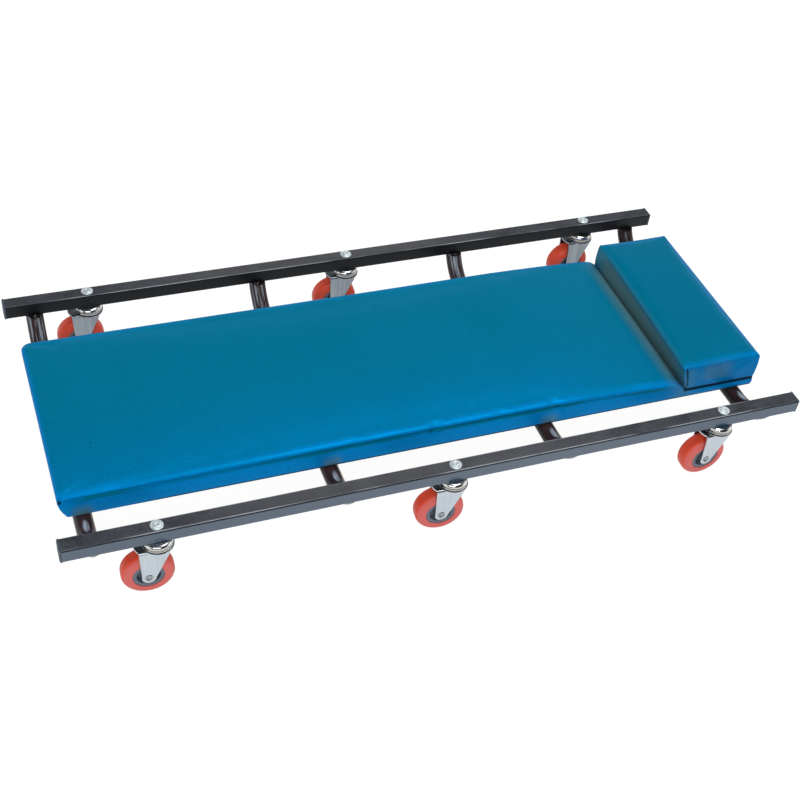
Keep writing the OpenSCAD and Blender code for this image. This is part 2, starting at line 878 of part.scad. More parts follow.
module fork() {
    depth = axle_depth + 2 * fork_tip_radius;
    color(zinc)
        difference() {
            union() {
                difference() {
                    intersection() {
                        rotate([90, 0, 90])
                            linear_extrude(4 * fork_back, center = true)
                                difference() {
                                    channel_outline(fork_width, shoulder_depth, fork_bend, depth);
                                    channel_outline(leg_gap, shoulder_depth + fork_sheet,
                                        fork_bend - fork_sheet, depth + overrun);
                                }
                        rotate([90, 0, 0])
                            linear_extrude(2 * fork_width, center = true)
                                leg_outline();
                    }
                    post(crown_slope_out - crown_slope_step, -shoulder_depth - fork_sheet - overrun, 0);
                }
                intersection() {
                    translate([back_bow_radius - fork_back - back_bow, 0, 0])
                        post(back_bow_radius, -shoulder_depth - fork_sheet, -shoulder_depth);
                    translate([-2 * fork_back, -back_bow_half, -axle_depth])
                        cube([fork_back + fork_bend, 2 * back_bow_half, axle_depth]);
                }
                crown();
            }
            translate([-caster_trail, 0, -axle_depth])
                rotate([90, 0, 0])
                    post(axle_radius + fitting_gap / 2, -fork_width, fork_width);
        }
}

// Turns a wheel piece, drawn about the Z axis, to lie on the axle
module on_axle() {
    translate([-caster_trail, 0, -axle_depth])
        rotate([-90, 0, 0])
            children();
}

// Hollow rivet and the bush that the hub turns on
module axle() {
    half = fork_width / 2;
    color(zinc)
        on_axle() {
            difference() {
                union() {
                    post(axle_radius, -half, half);
                    for (side = [0, 1])
                        mirror([0, 0, side])
                            post(axle_head_radius, half, half + axle_head);
                }
                post(axle_bore, -2 * half, 2 * half);
            }
            difference() {
                post(bush_radius, fitting_gap / 2 - leg_gap / 2, leg_gap / 2 - fitting_gap / 2);
                post(axle_radius + fitting_gap / 2, -half, half);
            }
        }
}

module hub() {
    boss = leg_gap / 2 - hub_play;
    rim = tyre_width / 2 - hub_rim_setback;
    color(hub_grey)
        on_axle()
            difference() {
                union() {
                    post(hub_boss_radius, -boss, boss);
                    post(hub_radius, -hub_web / 2, hub_web / 2);
                    difference() {
                        post(hub_radius, -rim, rim);
                        post(hub_radius - hub_rim, -rim - overrun, rim + overrun);
                    }
                }
                post(bush_radius + running_gap, -boss - overrun, boss + overrun);
            }
}

module tyre() {
    half = tyre_width / 2;
    color(tyre_red)
        on_axle()
            rotate_extrude()
                difference() {
                    union() {
                        translate([0, -half])
                            square([wheel_radius - tyre_shoulder, tyre_width]);
                        translate([0, tyre_shoulder - half])
                            square([wheel_radius, tyre_width - 2 * tyre_shoulder]);
                        for (side = [-1, 1])
                            translate([wheel_radius - tyre_shoulder, side * (half - tyre_shoulder)])
                                circle(tyre_shoulder);
                    }
                    translate([0, -tyre_width])
                        square([hub_radius, 2 * tyre_width]);
                }
}

rail(1);  // rail_left
rail(-1);  // rail_right
end_cap(-1, 1);  // cap_foot_left
end_cap(-1, -1);  // cap_foot_right
end_cap(1, 1);  // cap_head_left
end_cap(1, -1);  // cap_head_right
cross_tube(tube_1_x);  // cross_tube_1
cross_tube(tube_2_x);  // cross_tube_2
cross_tube(tube_3_x);  // cross_tube_3
cross_tube(tube_4_x);  // cross_tube_4
deck_board();
deck_foam();
deck_cover();
headrest_board();
headrest_foam();
headrest_cover();
deck_screws();
deck_tee_nuts();
headrest_screws();
cover_staples();
caster_bolts();
caster_nuts();
caster_kingpins();
for (i = [0:len(caster_names) - 1]) {
    prefix = str("caster_", caster_names[i], "_");
    at_caster(caster_places[i]) cup();
    at_caster(caster_places[i]) balls();
    at_caster(caster_places[i]) fork();
    at_caster(caster_places[i]) axle();
    at_caster(caster_places[i]) hub();
    at_caster(caster_places[i]) tyre();
}
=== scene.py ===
"""Mechanic creeper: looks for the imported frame, casters, padded deck and headrest."""

import json
import math

import bpy
import numpy as np
from mathutils import Matrix, Vector, noise


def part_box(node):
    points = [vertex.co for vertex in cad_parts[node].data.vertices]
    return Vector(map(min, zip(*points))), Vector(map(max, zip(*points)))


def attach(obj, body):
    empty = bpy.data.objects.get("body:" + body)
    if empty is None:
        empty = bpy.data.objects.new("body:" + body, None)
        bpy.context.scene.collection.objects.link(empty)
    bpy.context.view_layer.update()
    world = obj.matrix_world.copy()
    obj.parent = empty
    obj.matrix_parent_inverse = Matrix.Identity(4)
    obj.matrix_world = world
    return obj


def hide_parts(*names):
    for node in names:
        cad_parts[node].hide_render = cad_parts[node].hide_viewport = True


bl_info = {
    "name": "Mechanic creeper",
    "version": (1, 0, 0),
    "blender": (4, 5, 0),
    "location": "3D View > Sidebar > Creeper",
    "description": "Builds the finish, the padded pieces and the studio of a mechanic creeper",
    "category": "Object",
}

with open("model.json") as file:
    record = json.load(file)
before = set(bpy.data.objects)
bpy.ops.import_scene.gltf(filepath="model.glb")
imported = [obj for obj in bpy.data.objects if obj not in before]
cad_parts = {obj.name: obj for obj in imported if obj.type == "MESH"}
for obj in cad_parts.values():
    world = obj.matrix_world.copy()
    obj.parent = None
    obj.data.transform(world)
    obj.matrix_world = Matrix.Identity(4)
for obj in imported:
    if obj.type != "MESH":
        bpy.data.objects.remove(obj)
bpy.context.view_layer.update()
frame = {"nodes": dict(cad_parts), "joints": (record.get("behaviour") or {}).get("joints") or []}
NODES = frame["nodes"]
CASTERS = ("foot_left", "foot_right", "middle_left", "middle_right", "head_left", "head_right")

DECK_LOW, DECK_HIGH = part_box("deck_cover")
BOARD_LOW, BOARD_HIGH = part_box("deck_board")
REST_LOW, REST_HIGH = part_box("headrest_cover")
REST_BOARD_LOW, REST_BOARD_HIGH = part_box("headrest_board")
RAIL_LOW, RAIL_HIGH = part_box("rail_left")
TUBES = [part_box(f"cross_tube_{number}") for number in (1, 2, 3, 4)]
TUBE_X = [(low.x + high.x) / 2 for low, high in TUBES]
SWELL = 0.001  # how far the pads' sides bulge out between their edges


def linear(red, green, blue):
    """Linear colour of an sRGB colour given as 0 to 255."""
    shares = [channel / 255 for channel in (red, green, blue)]
    return tuple(s / 12.92 if s <= 0.04045 else ((s + 0.055) / 1.055) ** 2.4 for s in shares) + (1,)


def tinted(colour, share):
    """The colour made darker or lighter by a share."""
    return tuple(share * channel for channel in colour[:3]) + (1,)


def metres(name, description, default):
    """A size for the sidebar, in metres."""
    return bpy.props.FloatProperty(name=name, description=description, default=default, unit="LENGTH")


def hue(name, description, *rgb):
    """A colour for the sidebar, from its sRGB values of 0 to 255."""
    return bpy.props.FloatVectorProperty(
        name=name, description=description, default=linear(*rgb), subtype="COLOR", size=4)


class CreeperSizes(bpy.types.PropertyGroup):
    """Sizes of the padded pieces."""

    cell: metres("Mesh cell", "Spacing of the mesh over the pads", 0.0065)
    vinyl: metres("Vinyl", "Thickness of the vinyl cover", 0.001)
    deck_bead: metres("Deck bead", "Width of the deck's rolled upper edge", 0.0075)
    deck_drop: metres("Deck bead height", "Height of the deck's rolled upper edge", 0.0038)
    deck_crease: metres("Deck crease", "Depth of the crease under the rolled edge", 0.0032)
    deck_hem: metres("Deck hem", "Width of the vinyl turned in under the deck board", 0.03)
    rest_bead: metres("Headrest bead", "Radius of the headrest's upper edge", 0.0042)
    rest_hem: metres("Headrest hem", "Width of the vinyl turned in under the headrest", 0.016)


class CreeperColours(bpy.types.PropertyGroup):
    """Colours of the finishes."""

    vinyl_top: hue("Vinyl", "Colour of the vinyl seen from above", 0, 123, 157)
    # Painted sheen: the bluer colour painted on the sides that face out and on the near half of the top
    vinyl_side: hue("Vinyl sides", "Colour of the stretched vinyl on the sides", 0, 124, 190)
    # Painted highlight: the light blue painted along the rolled long edges, stronger on the near side
    vinyl_sheen: hue("Vinyl sheen", "Colour of the vinyl stretched over the rolled edges", 0, 136, 207)
    # Painted shade: the dark colour painted in the crease under the rolled edges
    vinyl_crease: hue("Vinyl crease", "Colour in the crease under the rolled edges", 0, 104, 124)
    # Painted shade where the pads meet, painted reflection of the tubes, and a grey patch on the headrest
    vinyl_grey: hue("Vinyl grime", "Colour of the rubbed vinyl at the headrest", 104, 134, 132)
    paint: hue("Rail paint", "Colour of the rails' satin paint", 54, 57, 63)
    # Painted reflection: the bluish grey painted on the rails' outer sides
    rail_side: hue("Rail sides", "Colour of the paint on the rails' outer sides", 38, 66, 90)
    tube_paint: hue("Tube paint", "Colour of the cross tubes' gloss paint", 54, 38, 38)
    # Painted sheen: tyre is the pinkish colour painted on the tyres' sides, strongest on the right
    tyre: hue("Tyre", "Colour of the tyres", 224, 102, 94)
    tread: hue("Tread", "Colour of the tyres' tread", 242, 74, 36)
    hub: hue("Hub", "Colour of the wheels' hubs", 104, 110, 122)


def math_node(operation, mirrored=False):
    """A method that adds a Math node for its term and the values given with it."""
    def method(term, *others):
        values = (*others, term) if mirrored else (term, *others)
        return term.finish.node("ShaderNodeMath", {"operation": operation}, dict(enumerate(values)))
    return method


class Term:
    """A shader socket. Arithmetic on it adds Math nodes."""

    def __init__(self, finish, socket):
        self.finish = finish
        self.socket = socket

    __add__ = math_node("ADD")
    __radd__ = math_node("ADD", mirrored=True)
    __sub__ = math_node("SUBTRACT")
    __rsub__ = math_node("SUBTRACT", mirrored=True)
    __mul__ = math_node("MULTIPLY")
    __rmul__ = math_node("MULTIPLY", mirrored=True)
    __truediv__ = math_node("DIVIDE")
    __abs__ = math_node("ABSOLUTE")
    power = math_node("POWER")
    least = math_node("MINIMUM")
    most = math_node("MAXIMUM")
    fract = math_node("FRACT")

    def __neg__(self):
        return self * -1.0

    def between(self, low, high, low_value=0.0, high_value=1.0):
        """Rises smoothly from low_value to high_value as this goes from low to high."""
        return self.finish.node(
            "ShaderNodeMapRange", {"interpolation_type": "SMOOTHSTEP"},
            {0: self, 1: low, 2: high, 3: low_value, 4: high_value})


class Finish:
    """A procedural material: one Principled shader and the nodes that feed it."""

    def __init__(self, name, **values):
        self.material = bpy.data.materials.new(name)
        self.material.use_nodes = True
        self.tree = self.material.node_tree
        self.shader = self.tree.nodes["Principled BSDF"]
        for socket, value in values.items():
            self.shader.inputs[socket.replace("_", " ")].default_value = value
        self.place = self.node("ShaderNodeTexCoord", output="Object")

    def node(self, kind, settings=None, inputs=None, output=0):
        """Adds a node. settings are set first, then inputs by name or number, as values or terms."""
        node = self.tree.nodes.new(kind)
        for key, value in (settings or {}).items():
            if key == "stops":
                ramp = node.color_ramp
                while len(ramp.elements) < len(value):
                    ramp.elements.new(0.5)
                for element, (position, colour) in zip(ramp.elements, value):
                    element.position = position
                    element.color = colour
            else:
                setattr(node, key, value)
        for key, value in (inputs or {}).items():
            if isinstance(value, Term):
                self.tree.links.new(value.socket, node.inputs[key])
            else:
                node.inputs[key].default_value = value
        return Term(self, node.outputs[output])

    def noise(self, scale, detail=2.0, roughness=0.5, place=None):
        return self.node(
            "ShaderNodeTexNoise", {},
            {"Vector": place or self.place, "Scale": scale, "Detail": detail, "Roughness": roughness},
            "Fac")

    def streaks(self, x, y, z, detail=3.0, roughness=0.6):
        """Noise with a scale of its own along each axis."""
        return self.noise(1.0, detail, roughness, self.stretched(x, y, z))

    def cells(self, scale, smooth=0.4):
        return self.node(
            "ShaderNodeTexVoronoi", {"feature": "SMOOTH_F1"},
            {"Vector": self.place, "Scale": scale, "Smoothness": smooth}, "Distance")

    def stretched(self, x, y, z):
        """The place with each axis scaled."""
        return self.node(
            "ShaderNodeVectorMath", {"operation": "MULTIPLY"}, {0: self.place, 1: (x, y, z)}, "Vector")

    def axes(self, vector=None):
        """The X, Y and Z of the place, or of the vector given."""
        split = self.tree.nodes.new("ShaderNodeSeparateXYZ")
        self.tree.links.new((vector or self.place).socket, split.inputs[0])
        return [Term(self, socket) for socket in split.outputs]

    def normal(self):
        """The surface's own direction in the object's axes."""
        return self.node("ShaderNodeTexCoord", output="Normal")

    def mix(self, share, first, second, blend="MIX"):
        """A colour that goes from first to second as share goes from 0 to 1."""
        return self.node("ShaderNodeMix", {"data_type": "RGBA", "blend_type": blend},
                         {0: share, 6: first, 7: second}, 2)

    def feed(self, **terms):
        for socket, term in terms.items():
            self.tree.links.new(term.socket, self.shader.inputs[socket.replace("_", " ")])
        return self

    def bump(self, height, depth, strength=1.0):
        """Height from 0 to 1 becomes relief of the depth given in metres."""
        return self.feed(Normal=self.node(
            "ShaderNodeBump", {}, {"Height": height, "Distance": depth, "Strength": strength}))


# Places across of the painted highlight band on the rolled long edges, from where it starts to where it is
# full
SHEEN_BAND = (DECK_HIGH.y - 0.017, DECK_HIGH.y - 0.007)
SIDE_START, SIDE_END = DECK_HIGH.y - 0.0145, DECK_HIGH.y - 0.0045
# Dark colour of the painted shade in seams, folds and dimples and along the deck's bottom edge
FOLD_DARK = (0.004, 0.012, 0.016, 1)


def vinyl_finish(colours, name, greyed, outer, seam, crease, folds, tint, depth):
    """Satin vinyl with a blue sheen and leather grain, with a bluer painted sheen on the sides, a painted
    highlight on the rolled long edges, and painted shade in the seams, the crease and the folds.

    greyed is a function of the finish, x, y and z that gives the share of grey marks. outer is the sign
    of the X direction that the pad's own end faces. seam gives the share of the painted shade along the
    seam between the pads at an x and z. crease gives the height of the painted shade in the crease under
    the rolled edge at an x, or is None; given, it also brings a painted shadow along the bottom edge.
    folds are places of painted shade in folds, each with its reach and how dark it is. tint is how blue
    the painted sheen makes the right edge of the top, and depth darkens the whole."""
    finish = Finish(name, Roughness=0.36, Metallic=0.22, IOR=1.33, Specular_IOR_Level=0.12,
                    Specular_Tint=(0.0, 0.5, 1.0, 1))
    x, y, z = finish.axes()
    facing_x, facing_y, up = finish.axes(finish.normal())
    turned = abs(facing_y)
    cloud = finish.noise(9.0, 3.0)
    patches = finish.noise(9.0)
    blotch = finish.noise(240.0, 3.0, 0.6)
    fine = finish.noise(700.0, 2.0, 0.6)
    # Painted sheen: the sides that face out, and the near half of the top, take the bluer side colour
    right_half = (-y).between(-0.02, 0.15, 0.0, tint) * x.between(0.15, 0.38, 1.0, 0.3)
    side = turned.most(facing_x * outer).between(0.05, 0.7).most(right_half)
    colour = finish.mix(side, colours.vinyl_top, colours.vinyl_side)
    # Painted highlight along the rolled long edges, stronger on the near side
    rolled = abs(y).between(*SHEEN_BAND) * turned.between(0.45, 0.8, 1.0, 0.0) * up.between(0.2, 0.5)
    uneven = patches.between(0.36, 0.6, 0.4, 1.0) * (-y).between(-0.2, 0.1, 0.3, 1.0)
    colour = finish.mix(rolled * uneven * 0.8, colour, colours.vinyl_sheen)
    green = 0.6 - depth + 0.08 * cloud + 0.32 * blotch + 0.4 * fine
    blue = 0.58 - depth + 0.1 * cloud + 0.34 * blotch + 0.4 * fine
    shade = finish.node("ShaderNodeCombineColor", {}, {0: 1.0, 1: green, 2: blue})
    colour = finish.mix(1.0, colour, shade, "MULTIPLY")
    # Grey marks: painted shade where the pads meet, painted reflection of the tubes, a patch on the headrest
    marks = greyed(finish, x, y, z) * (0.75 + 0.5 * finish.noise(60.0))
    colour = finish.mix(marks, colour, colours.vinyl_grey)
    # Painted shade along the seam between the pads
    dark = seam(x, z)
    if crease is not None:
        # Painted shade in the crease under the rolled edge
        under = abs(z - crease(x)).between(0.0008, 0.0048, 0.8, 0.0) * turned.between(0.2, 0.5)
        under = under * x.between(0.33, 0.36, 1.0, 0.0) * x.between(-0.475, -0.45)
        under = under * patches.between(0.36, 0.56, 0.3, 1.0)
        colour = finish.mix(under, colour, colours.vinyl_crease)
        # Painted shadow along the bottom edge of the deck's long sides
        low_line = (z - DECK_LOW.z).between(0.0028, 0.0038, 0.85, 0.0) * x.between(-0.43, -0.34)
        dark = dark.most(low_line * turned.between(0.2, 0.5))
    # Painted shade in the folds, the notch, the dimples and below the puckers
    for place, reach, share in folds:
        apart = finish.node("ShaderNodeVectorMath", {"operation": "DISTANCE"},
                            {0: finish.place, 1: place}, "Value")
        dark = dark.most(apart.between(reach * 0.4, reach, share, 0.0))
    colour = finish.mix(dark, colour, FOLD_DARK)
    finish.feed(Base_Color=colour, Roughness=0.31 + 0.1 * cloud + 0.03 * fine)
    grain = finish.cells(850.0) * 0.7 + finish.noise(2200.0) * 0.3
    return finish.bump(grain, 0.00011, 0.55).material


def junction_marks(junction_x, reach):
    """Grey band of painted shade where the two pads meet, fainter towards the pads' long sides."""
    def marks(finish, x, y, z):
        band = abs(x - junction_x).between(0.0, reach, 0.85, 0.0)
        return band * abs(y + 0.005).between(0.1, 0.15, 1.0, 0.25)
    return marks


def tube_marks(places, low, high):
    """Soft grey painted reflection of the painted tubes, on the near side above them."""
    def marks(finish, x, y, z):
        across = abs(x - places[0])
        for place in places[1:]:
            across = across.least(abs(x - place))
        spot = across.between(0.004, 0.018, 1.0, 0.0) * z.between(low, high, 0.7, 0.0)
        return spot * (-y).between(SIDE_START, SIDE_END)
    return marks


def paint_finish(name, colour, roughness, gloss, peel, dust):
    """Stoved paint: orange peel, cloudy gloss and a few light specks of dust.
    Returns the finish and its colour, for marks on top."""
    finish = Finish(name, Roughness=roughness, Specular_IOR_Level=gloss, Specular_Tint=(0.8, 0.92, 1.0, 1))
    cloud = finish.noise(30.0, 5.0, 0.65)
    specks = finish.noise(230.0, 3.0, 0.7).between(0.55, 0.75) * dust
    tone = finish.mix(cloud.between(0.3, 0.7), tinted(colour, 0.7), tinted(colour, 1.35))
    tone = finish.mix(specks, tone, (0.075, 0.07, 0.066, 1))
    finish.feed(Roughness=roughness - 0.08 + 0.16 * cloud)
    return finish.bump(finish.noise(650.0), peel, 0.6), tone


RUBBED_GREY = linear(74, 76, 80)
SPECK_GREY = linear(100, 94, 90)
MIDDLE_GREY = linear(92, 90, 92)
# Painted shade on the rails' inner faces
INSIDE_SHADE = linear(12, 12, 14)
# Painted dark reflection line below the rails' upper edge, and the painted highlight along the edge
EDGE_BLACK = linear(9, 10, 12)
EDGE_HIGHLIGHT = linear(160, 165, 170)


def rail_finish(colours):
    """The rails' paint: worn blotches and dust specks on top, lighter towards the middle, a painted highlight
    and a painted dark reflection line along its upper edges, painted shade on the inside, and on the
    outside clean gloss with a bluish painted reflection."""
    finish, tone = paint_finish("rail_paint", colours.paint, 0.42, gloss=0.28, peel=0.00012, dust=0.7)
    finish.shader.inputs["Coat IOR"].default_value = 1.63
    finish.shader.inputs["Coat Roughness"].default_value = 0.2
    x, y, z = finish.axes()
    facing_out = finish.axes(finish.normal())[1] * y
    outside = facing_out.between(0.12, 0.2)
    blotch = finish.streaks(26.0, 60.0, 60.0, 4.0)
    tone = finish.mix(blotch.between(0.42, 0.66) * 0.6, tone, RUBBED_GREY)
    tone = finish.mix(finish.noise(420.0, 2.0, 0.7).between(0.52, 0.7) * 0.3, tone, SPECK_GREY)
    # Lighter grey towards the middle of the rails
    tone = finish.mix(abs(x + 0.06).between(0.12, 0.34, 0.45, 0.0), tone, MIDDLE_GREY)
    # Painted shade on the faces that look inwards
    tone = finish.mix(facing_out.between(-0.19, -0.08, 1.0, 0.0), tone, INSIDE_SHADE)
    # Painted reflection: bluish grey on the outer faces
    tone = finish.mix(outside, tone, colours.rail_side)
    # How far a place lies from the rail's upper ridge, summed across and down
    over = abs(abs(y) - (RAIL_LOW.y + RAIL_HIGH.y) / 2) + (RAIL_HIGH.z - z)
    # Painted highlight along the rounded upper edge, and a painted dark reflection line just below it
    light = over.between(0.0078, 0.009) * over.between(0.0098, 0.0103, 1.0, 0.0)
    dark = over.between(0.0099, 0.0104) * over.between(0.0121, 0.0131, 1.0, 0.0)
    highlight_strength = finish.streaks(9.0, 1.0, 1.0, 3.0, 0.55).between(0.4, 0.6, 0.06, 1.0)
    highlight_strength = highlight_strength * abs(x).between(0.4, 0.46, 1.0, 0.2)
    tone = finish.mix(dark * 0.95, tone, EDGE_BLACK)
    tone = finish.mix(light * highlight_strength * 0.85, tone, EDGE_HIGHLIGHT)
    coat = outside * dark.between(0.0, 0.4, 1.0, 0.05) * x.between(0.1, 0.45, 1.0, 0.75)
    return finish.feed(Coat_Weight=coat, Base_Color=tone).material


# Colours of the painted highlights and painted shade on the cross tubes
STREAK_HIGHLIGHT = linear(150, 162, 172)
FLANK_SHADE = linear(8, 6, 6)
GLEAM_GREY = linear(190, 202, 214)
GLEAM_Y = -0.1625  # middle of the soft gleam on each near bend
GLEAM_WIDTH, GLEAM_LENGTH = 0.0046, 0.0135


def tube_finish(colours):
    """The cross tubes' gloss paint, with painted highlight streaks on the far bends, painted shade on
    the near flanks and a painted gleam on the near bends.
    """
    finish, tone = paint_finish("tube_paint", colours.tube_paint, 0.2, gloss=0.14, peel=0.00003, dust=0.1)
    x, y, z = finish.axes()
    up = finish.axes(finish.normal())[2]
    bend = abs(y).between(DECK_HIGH.y + 0.001, DECK_HIGH.y + 0.008) * up.between(0.15, 0.55)
    # Painted highlight streaks along the far bends
    streak = finish.streaks(330.0, 11.0, 11.0).between(0.5, 0.62)
    far = y.between(-0.05, 0.05) * abs(y).between(0.15, 0.16, 0.35, 1.0)
    tone = finish.mix(streak * bend * far * 0.8, tone, STREAK_HIGHLIGHT)
    # Painted shade on the near tubes' flanks
    tone = finish.mix(up.between(0.15, 0.7, 0.9, 0.0) * (-y).between(0.0, 0.05), tone, FLANK_SHADE)
    # Painted highlight: a soft gleam on each near bend
    across = abs(x - TUBE_X[0])
    for place in TUBE_X[1:]:
        across = across.least(abs(x - place))
    wide, long = across / GLEAM_WIDTH, (y - GLEAM_Y) / GLEAM_LENGTH
    gleam = (wide * wide + long * long).between(0.05, 1.0, 1.0, 0.0)
    gleam = gleam * finish.streaks(420.0, 40.0, 40.0, 2.0).between(0.36, 0.6, 0.3, 1.0)
    tone = finish.mix(gleam * up.between(0.3, 0.6) * 0.7, tone, GLEAM_GREY)
    return finish.feed(Base_Color=tone).material


def metal_finish(name, colour, roughness, grain, relief, lines=0.0, band=None):
    """Plated or bare steel: cloudy brightness and a fine grain.

    lines is the strength of upright press marks. band is the low and high edge of a darker grey-brown band."""
    finish = Finish(name, Metallic=1.0, Roughness=roughness)
    cloud = finish.noise(70.0, 3.0)
    fine = finish.noise(grain, 2.0, 0.6)
    tone = finish.mix(cloud, tinted(colour, 0.88), colour)
    if lines:
        press = finish.streaks(190.0, 190.0, 14.0).between(0.42, 0.68)
        tone = finish.mix(press * lines, tone, tinted(colour, 0.4))
    if band:
        z = finish.axes()[2]
        # A darker grey-brown band on the cup
        darkened = z.between(band[0], band[0] + 0.0006) * z.between(band[1] - 0.0008, band[1], 1.0, 0.0)
        tone = finish.mix(darkened * 0.85, tone, linear(118, 112, 102))
    finish.feed(Base_Color=tone, Roughness=roughness - 0.05 + 0.07 * cloud + 0.05 * fine)
    return finish.bump(fine, relief, 0.5).material


def tyre_finish(colours):
    """Cast polyurethane: a more orange, scuffed tread, and a pinkish painted sheen on the sides,
    strongest on the right.
    """
    finish = Finish("tyre_urethane", Roughness=0.45, Specular_IOR_Level=0.35)
    cloud = finish.noise(45.0, 3.0)
    scuffs = finish.noise(240.0, 4.0, 0.7).between(0.62, 0.8)
    flat = abs(finish.axes(finish.normal())[1]).between(0.35, 0.8)
    # Painted sheen: the pinkish side colour on the right tyres, weak on the left ones
    near_sheen = finish.axes()[1].between(-0.05, 0.05, 1.0, 0.15)
    tone = finish.mix(flat * near_sheen, colours.tread, colours.tyre)
    tone = finish.mix(cloud * 0.3, tone, tinted(colours.tyre, 0.7))
    tone = finish.mix(scuffs * 0.2, tone, (0.42, 0.12, 0.08, 1))
    finish.feed(Base_Color=tone, Roughness=0.39 + 0.14 * cloud + 0.1 * scuffs)
    return finish.bump(finish.noise(900.0), 0.00006, 0.5).material


def plastic_finish(name, colour, roughness):
    """Moulded plastic: an even grain with soft cloudiness."""
    finish = Finish(name, Roughness=roughness, Specular_IOR_Level=0.4)
    cloud = finish.noise(60.0)
    finish.feed(Base_Color=finish.mix(cloud, tinted(colour, 0.85), colour),
                Roughness=roughness - 0.04 + 0.1 * cloud)
    return finish.bump(finish.noise(1400.0), 0.00005, 0.6).material


PLY_COUNT = 5


def plywood_finish(name, low_z, thickness):
    """Plywood: long grain on the faces and five plies on the edges."""
    finish = Finish(name, Roughness=0.7, Specular_IOR_Level=0.25)
    z = finish.axes()[2]
    up = abs(finish.axes(finish.normal())[2])
    grain = finish.streaks(7.0, 210.0, 40.0, 6.0, 0.65)
    rings = finish.node(
        "ShaderNodeTexWave", {"wave_type": "BANDS", "bands_direction": "Y"},
        {"Vector": finish.stretched(1.1, 5.0, 3.0), "Scale": 1.6, "Distortion": 16.0, "Detail": 4.0,
         "Detail Scale": 0.9, "Detail Roughness": 0.6}, "Fac")
    face = finish.node("ShaderNodeValToRGB", {"stops": [
        (0.25, linear(176, 133, 84)), (0.55, linear(205, 166, 114)), (0.8, linear(219, 184, 134))]},
        {0: grain * 0.78 + rings * 0.22})
    ply = ((z - low_z) * (PLY_COUNT / thickness)).fract()
    edge = finish.mix(ply.between(0.35, 0.65), linear(196, 152, 98), linear(146, 104, 62))
    finish.feed(Base_Color=finish.mix(up.between(0.4, 0.8), edge, face), Roughness=0.62 + 0.16 * grain)
    return finish.bump(grain, 0.0003, 0.6).material


def foam_finish():
    """Open-cell foam."""
    finish = Finish("pad_foam", Roughness=0.95, Specular_IOR_Level=0.1)
    pores = finish.cells(600.0, 0.1)
    tone = finish.mix(pores, linear(150, 146, 132), linear(214, 210, 192))
    return finish.feed(Base_Color=tone).bump(pores, 0.0006, 0.8).material


def dress(material, *names):
    """Gives CAD nodes their finish."""
    for name in names:
        node = NODES[name]
        node.data.materials.clear()
        node.data.materials.append(material)


def add_mesh(name, points, faces, material, body="frame"):
    """A smooth mesh piece that rides on a body."""
    mesh = bpy.data.meshes.new(name)
    mesh.from_pydata([tuple(p) for p in points], [], faces)
    mesh.polygons.foreach_set("use_smooth", [True] * len(mesh.polygons))
    mesh.materials.append(material)
    mesh.update()
    piece = bpy.data.objects.new(name, mesh)
    bpy.context.scene.collection.objects.link(piece)
    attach(piece, body)
    return piece


def apply_modifiers(piece):
    """Puts what a piece's modifiers make into its own mesh."""
    bpy.context.view_layer.update()
    graph = bpy.context.evaluated_depsgraph_get()
    mesh = bpy.data.meshes.new_from_object(piece.evaluated_get(graph))
    piece.modifiers.clear()
    old = piece.data
    piece.data = mesh
    bpy.data.meshes.remove(old)


# Shares of a corner's zone at which its mesh lines run
CORNER_STOPS = (0.0, 0.1, 0.2, 0.3, 0.42, 0.56, 0.7, 0.85, 1.0)
LEAST_RADIUS = 0.0022  # of a corner, also on the rings inside the outline
BASE_ROLL = 0.0016  # height over which the vinyl turns in under the board
LEAST_ROLL, LEAST_SIDE = 0.24, 0.15  # what squeezed foam leaves of the rolled edge and of the side rows


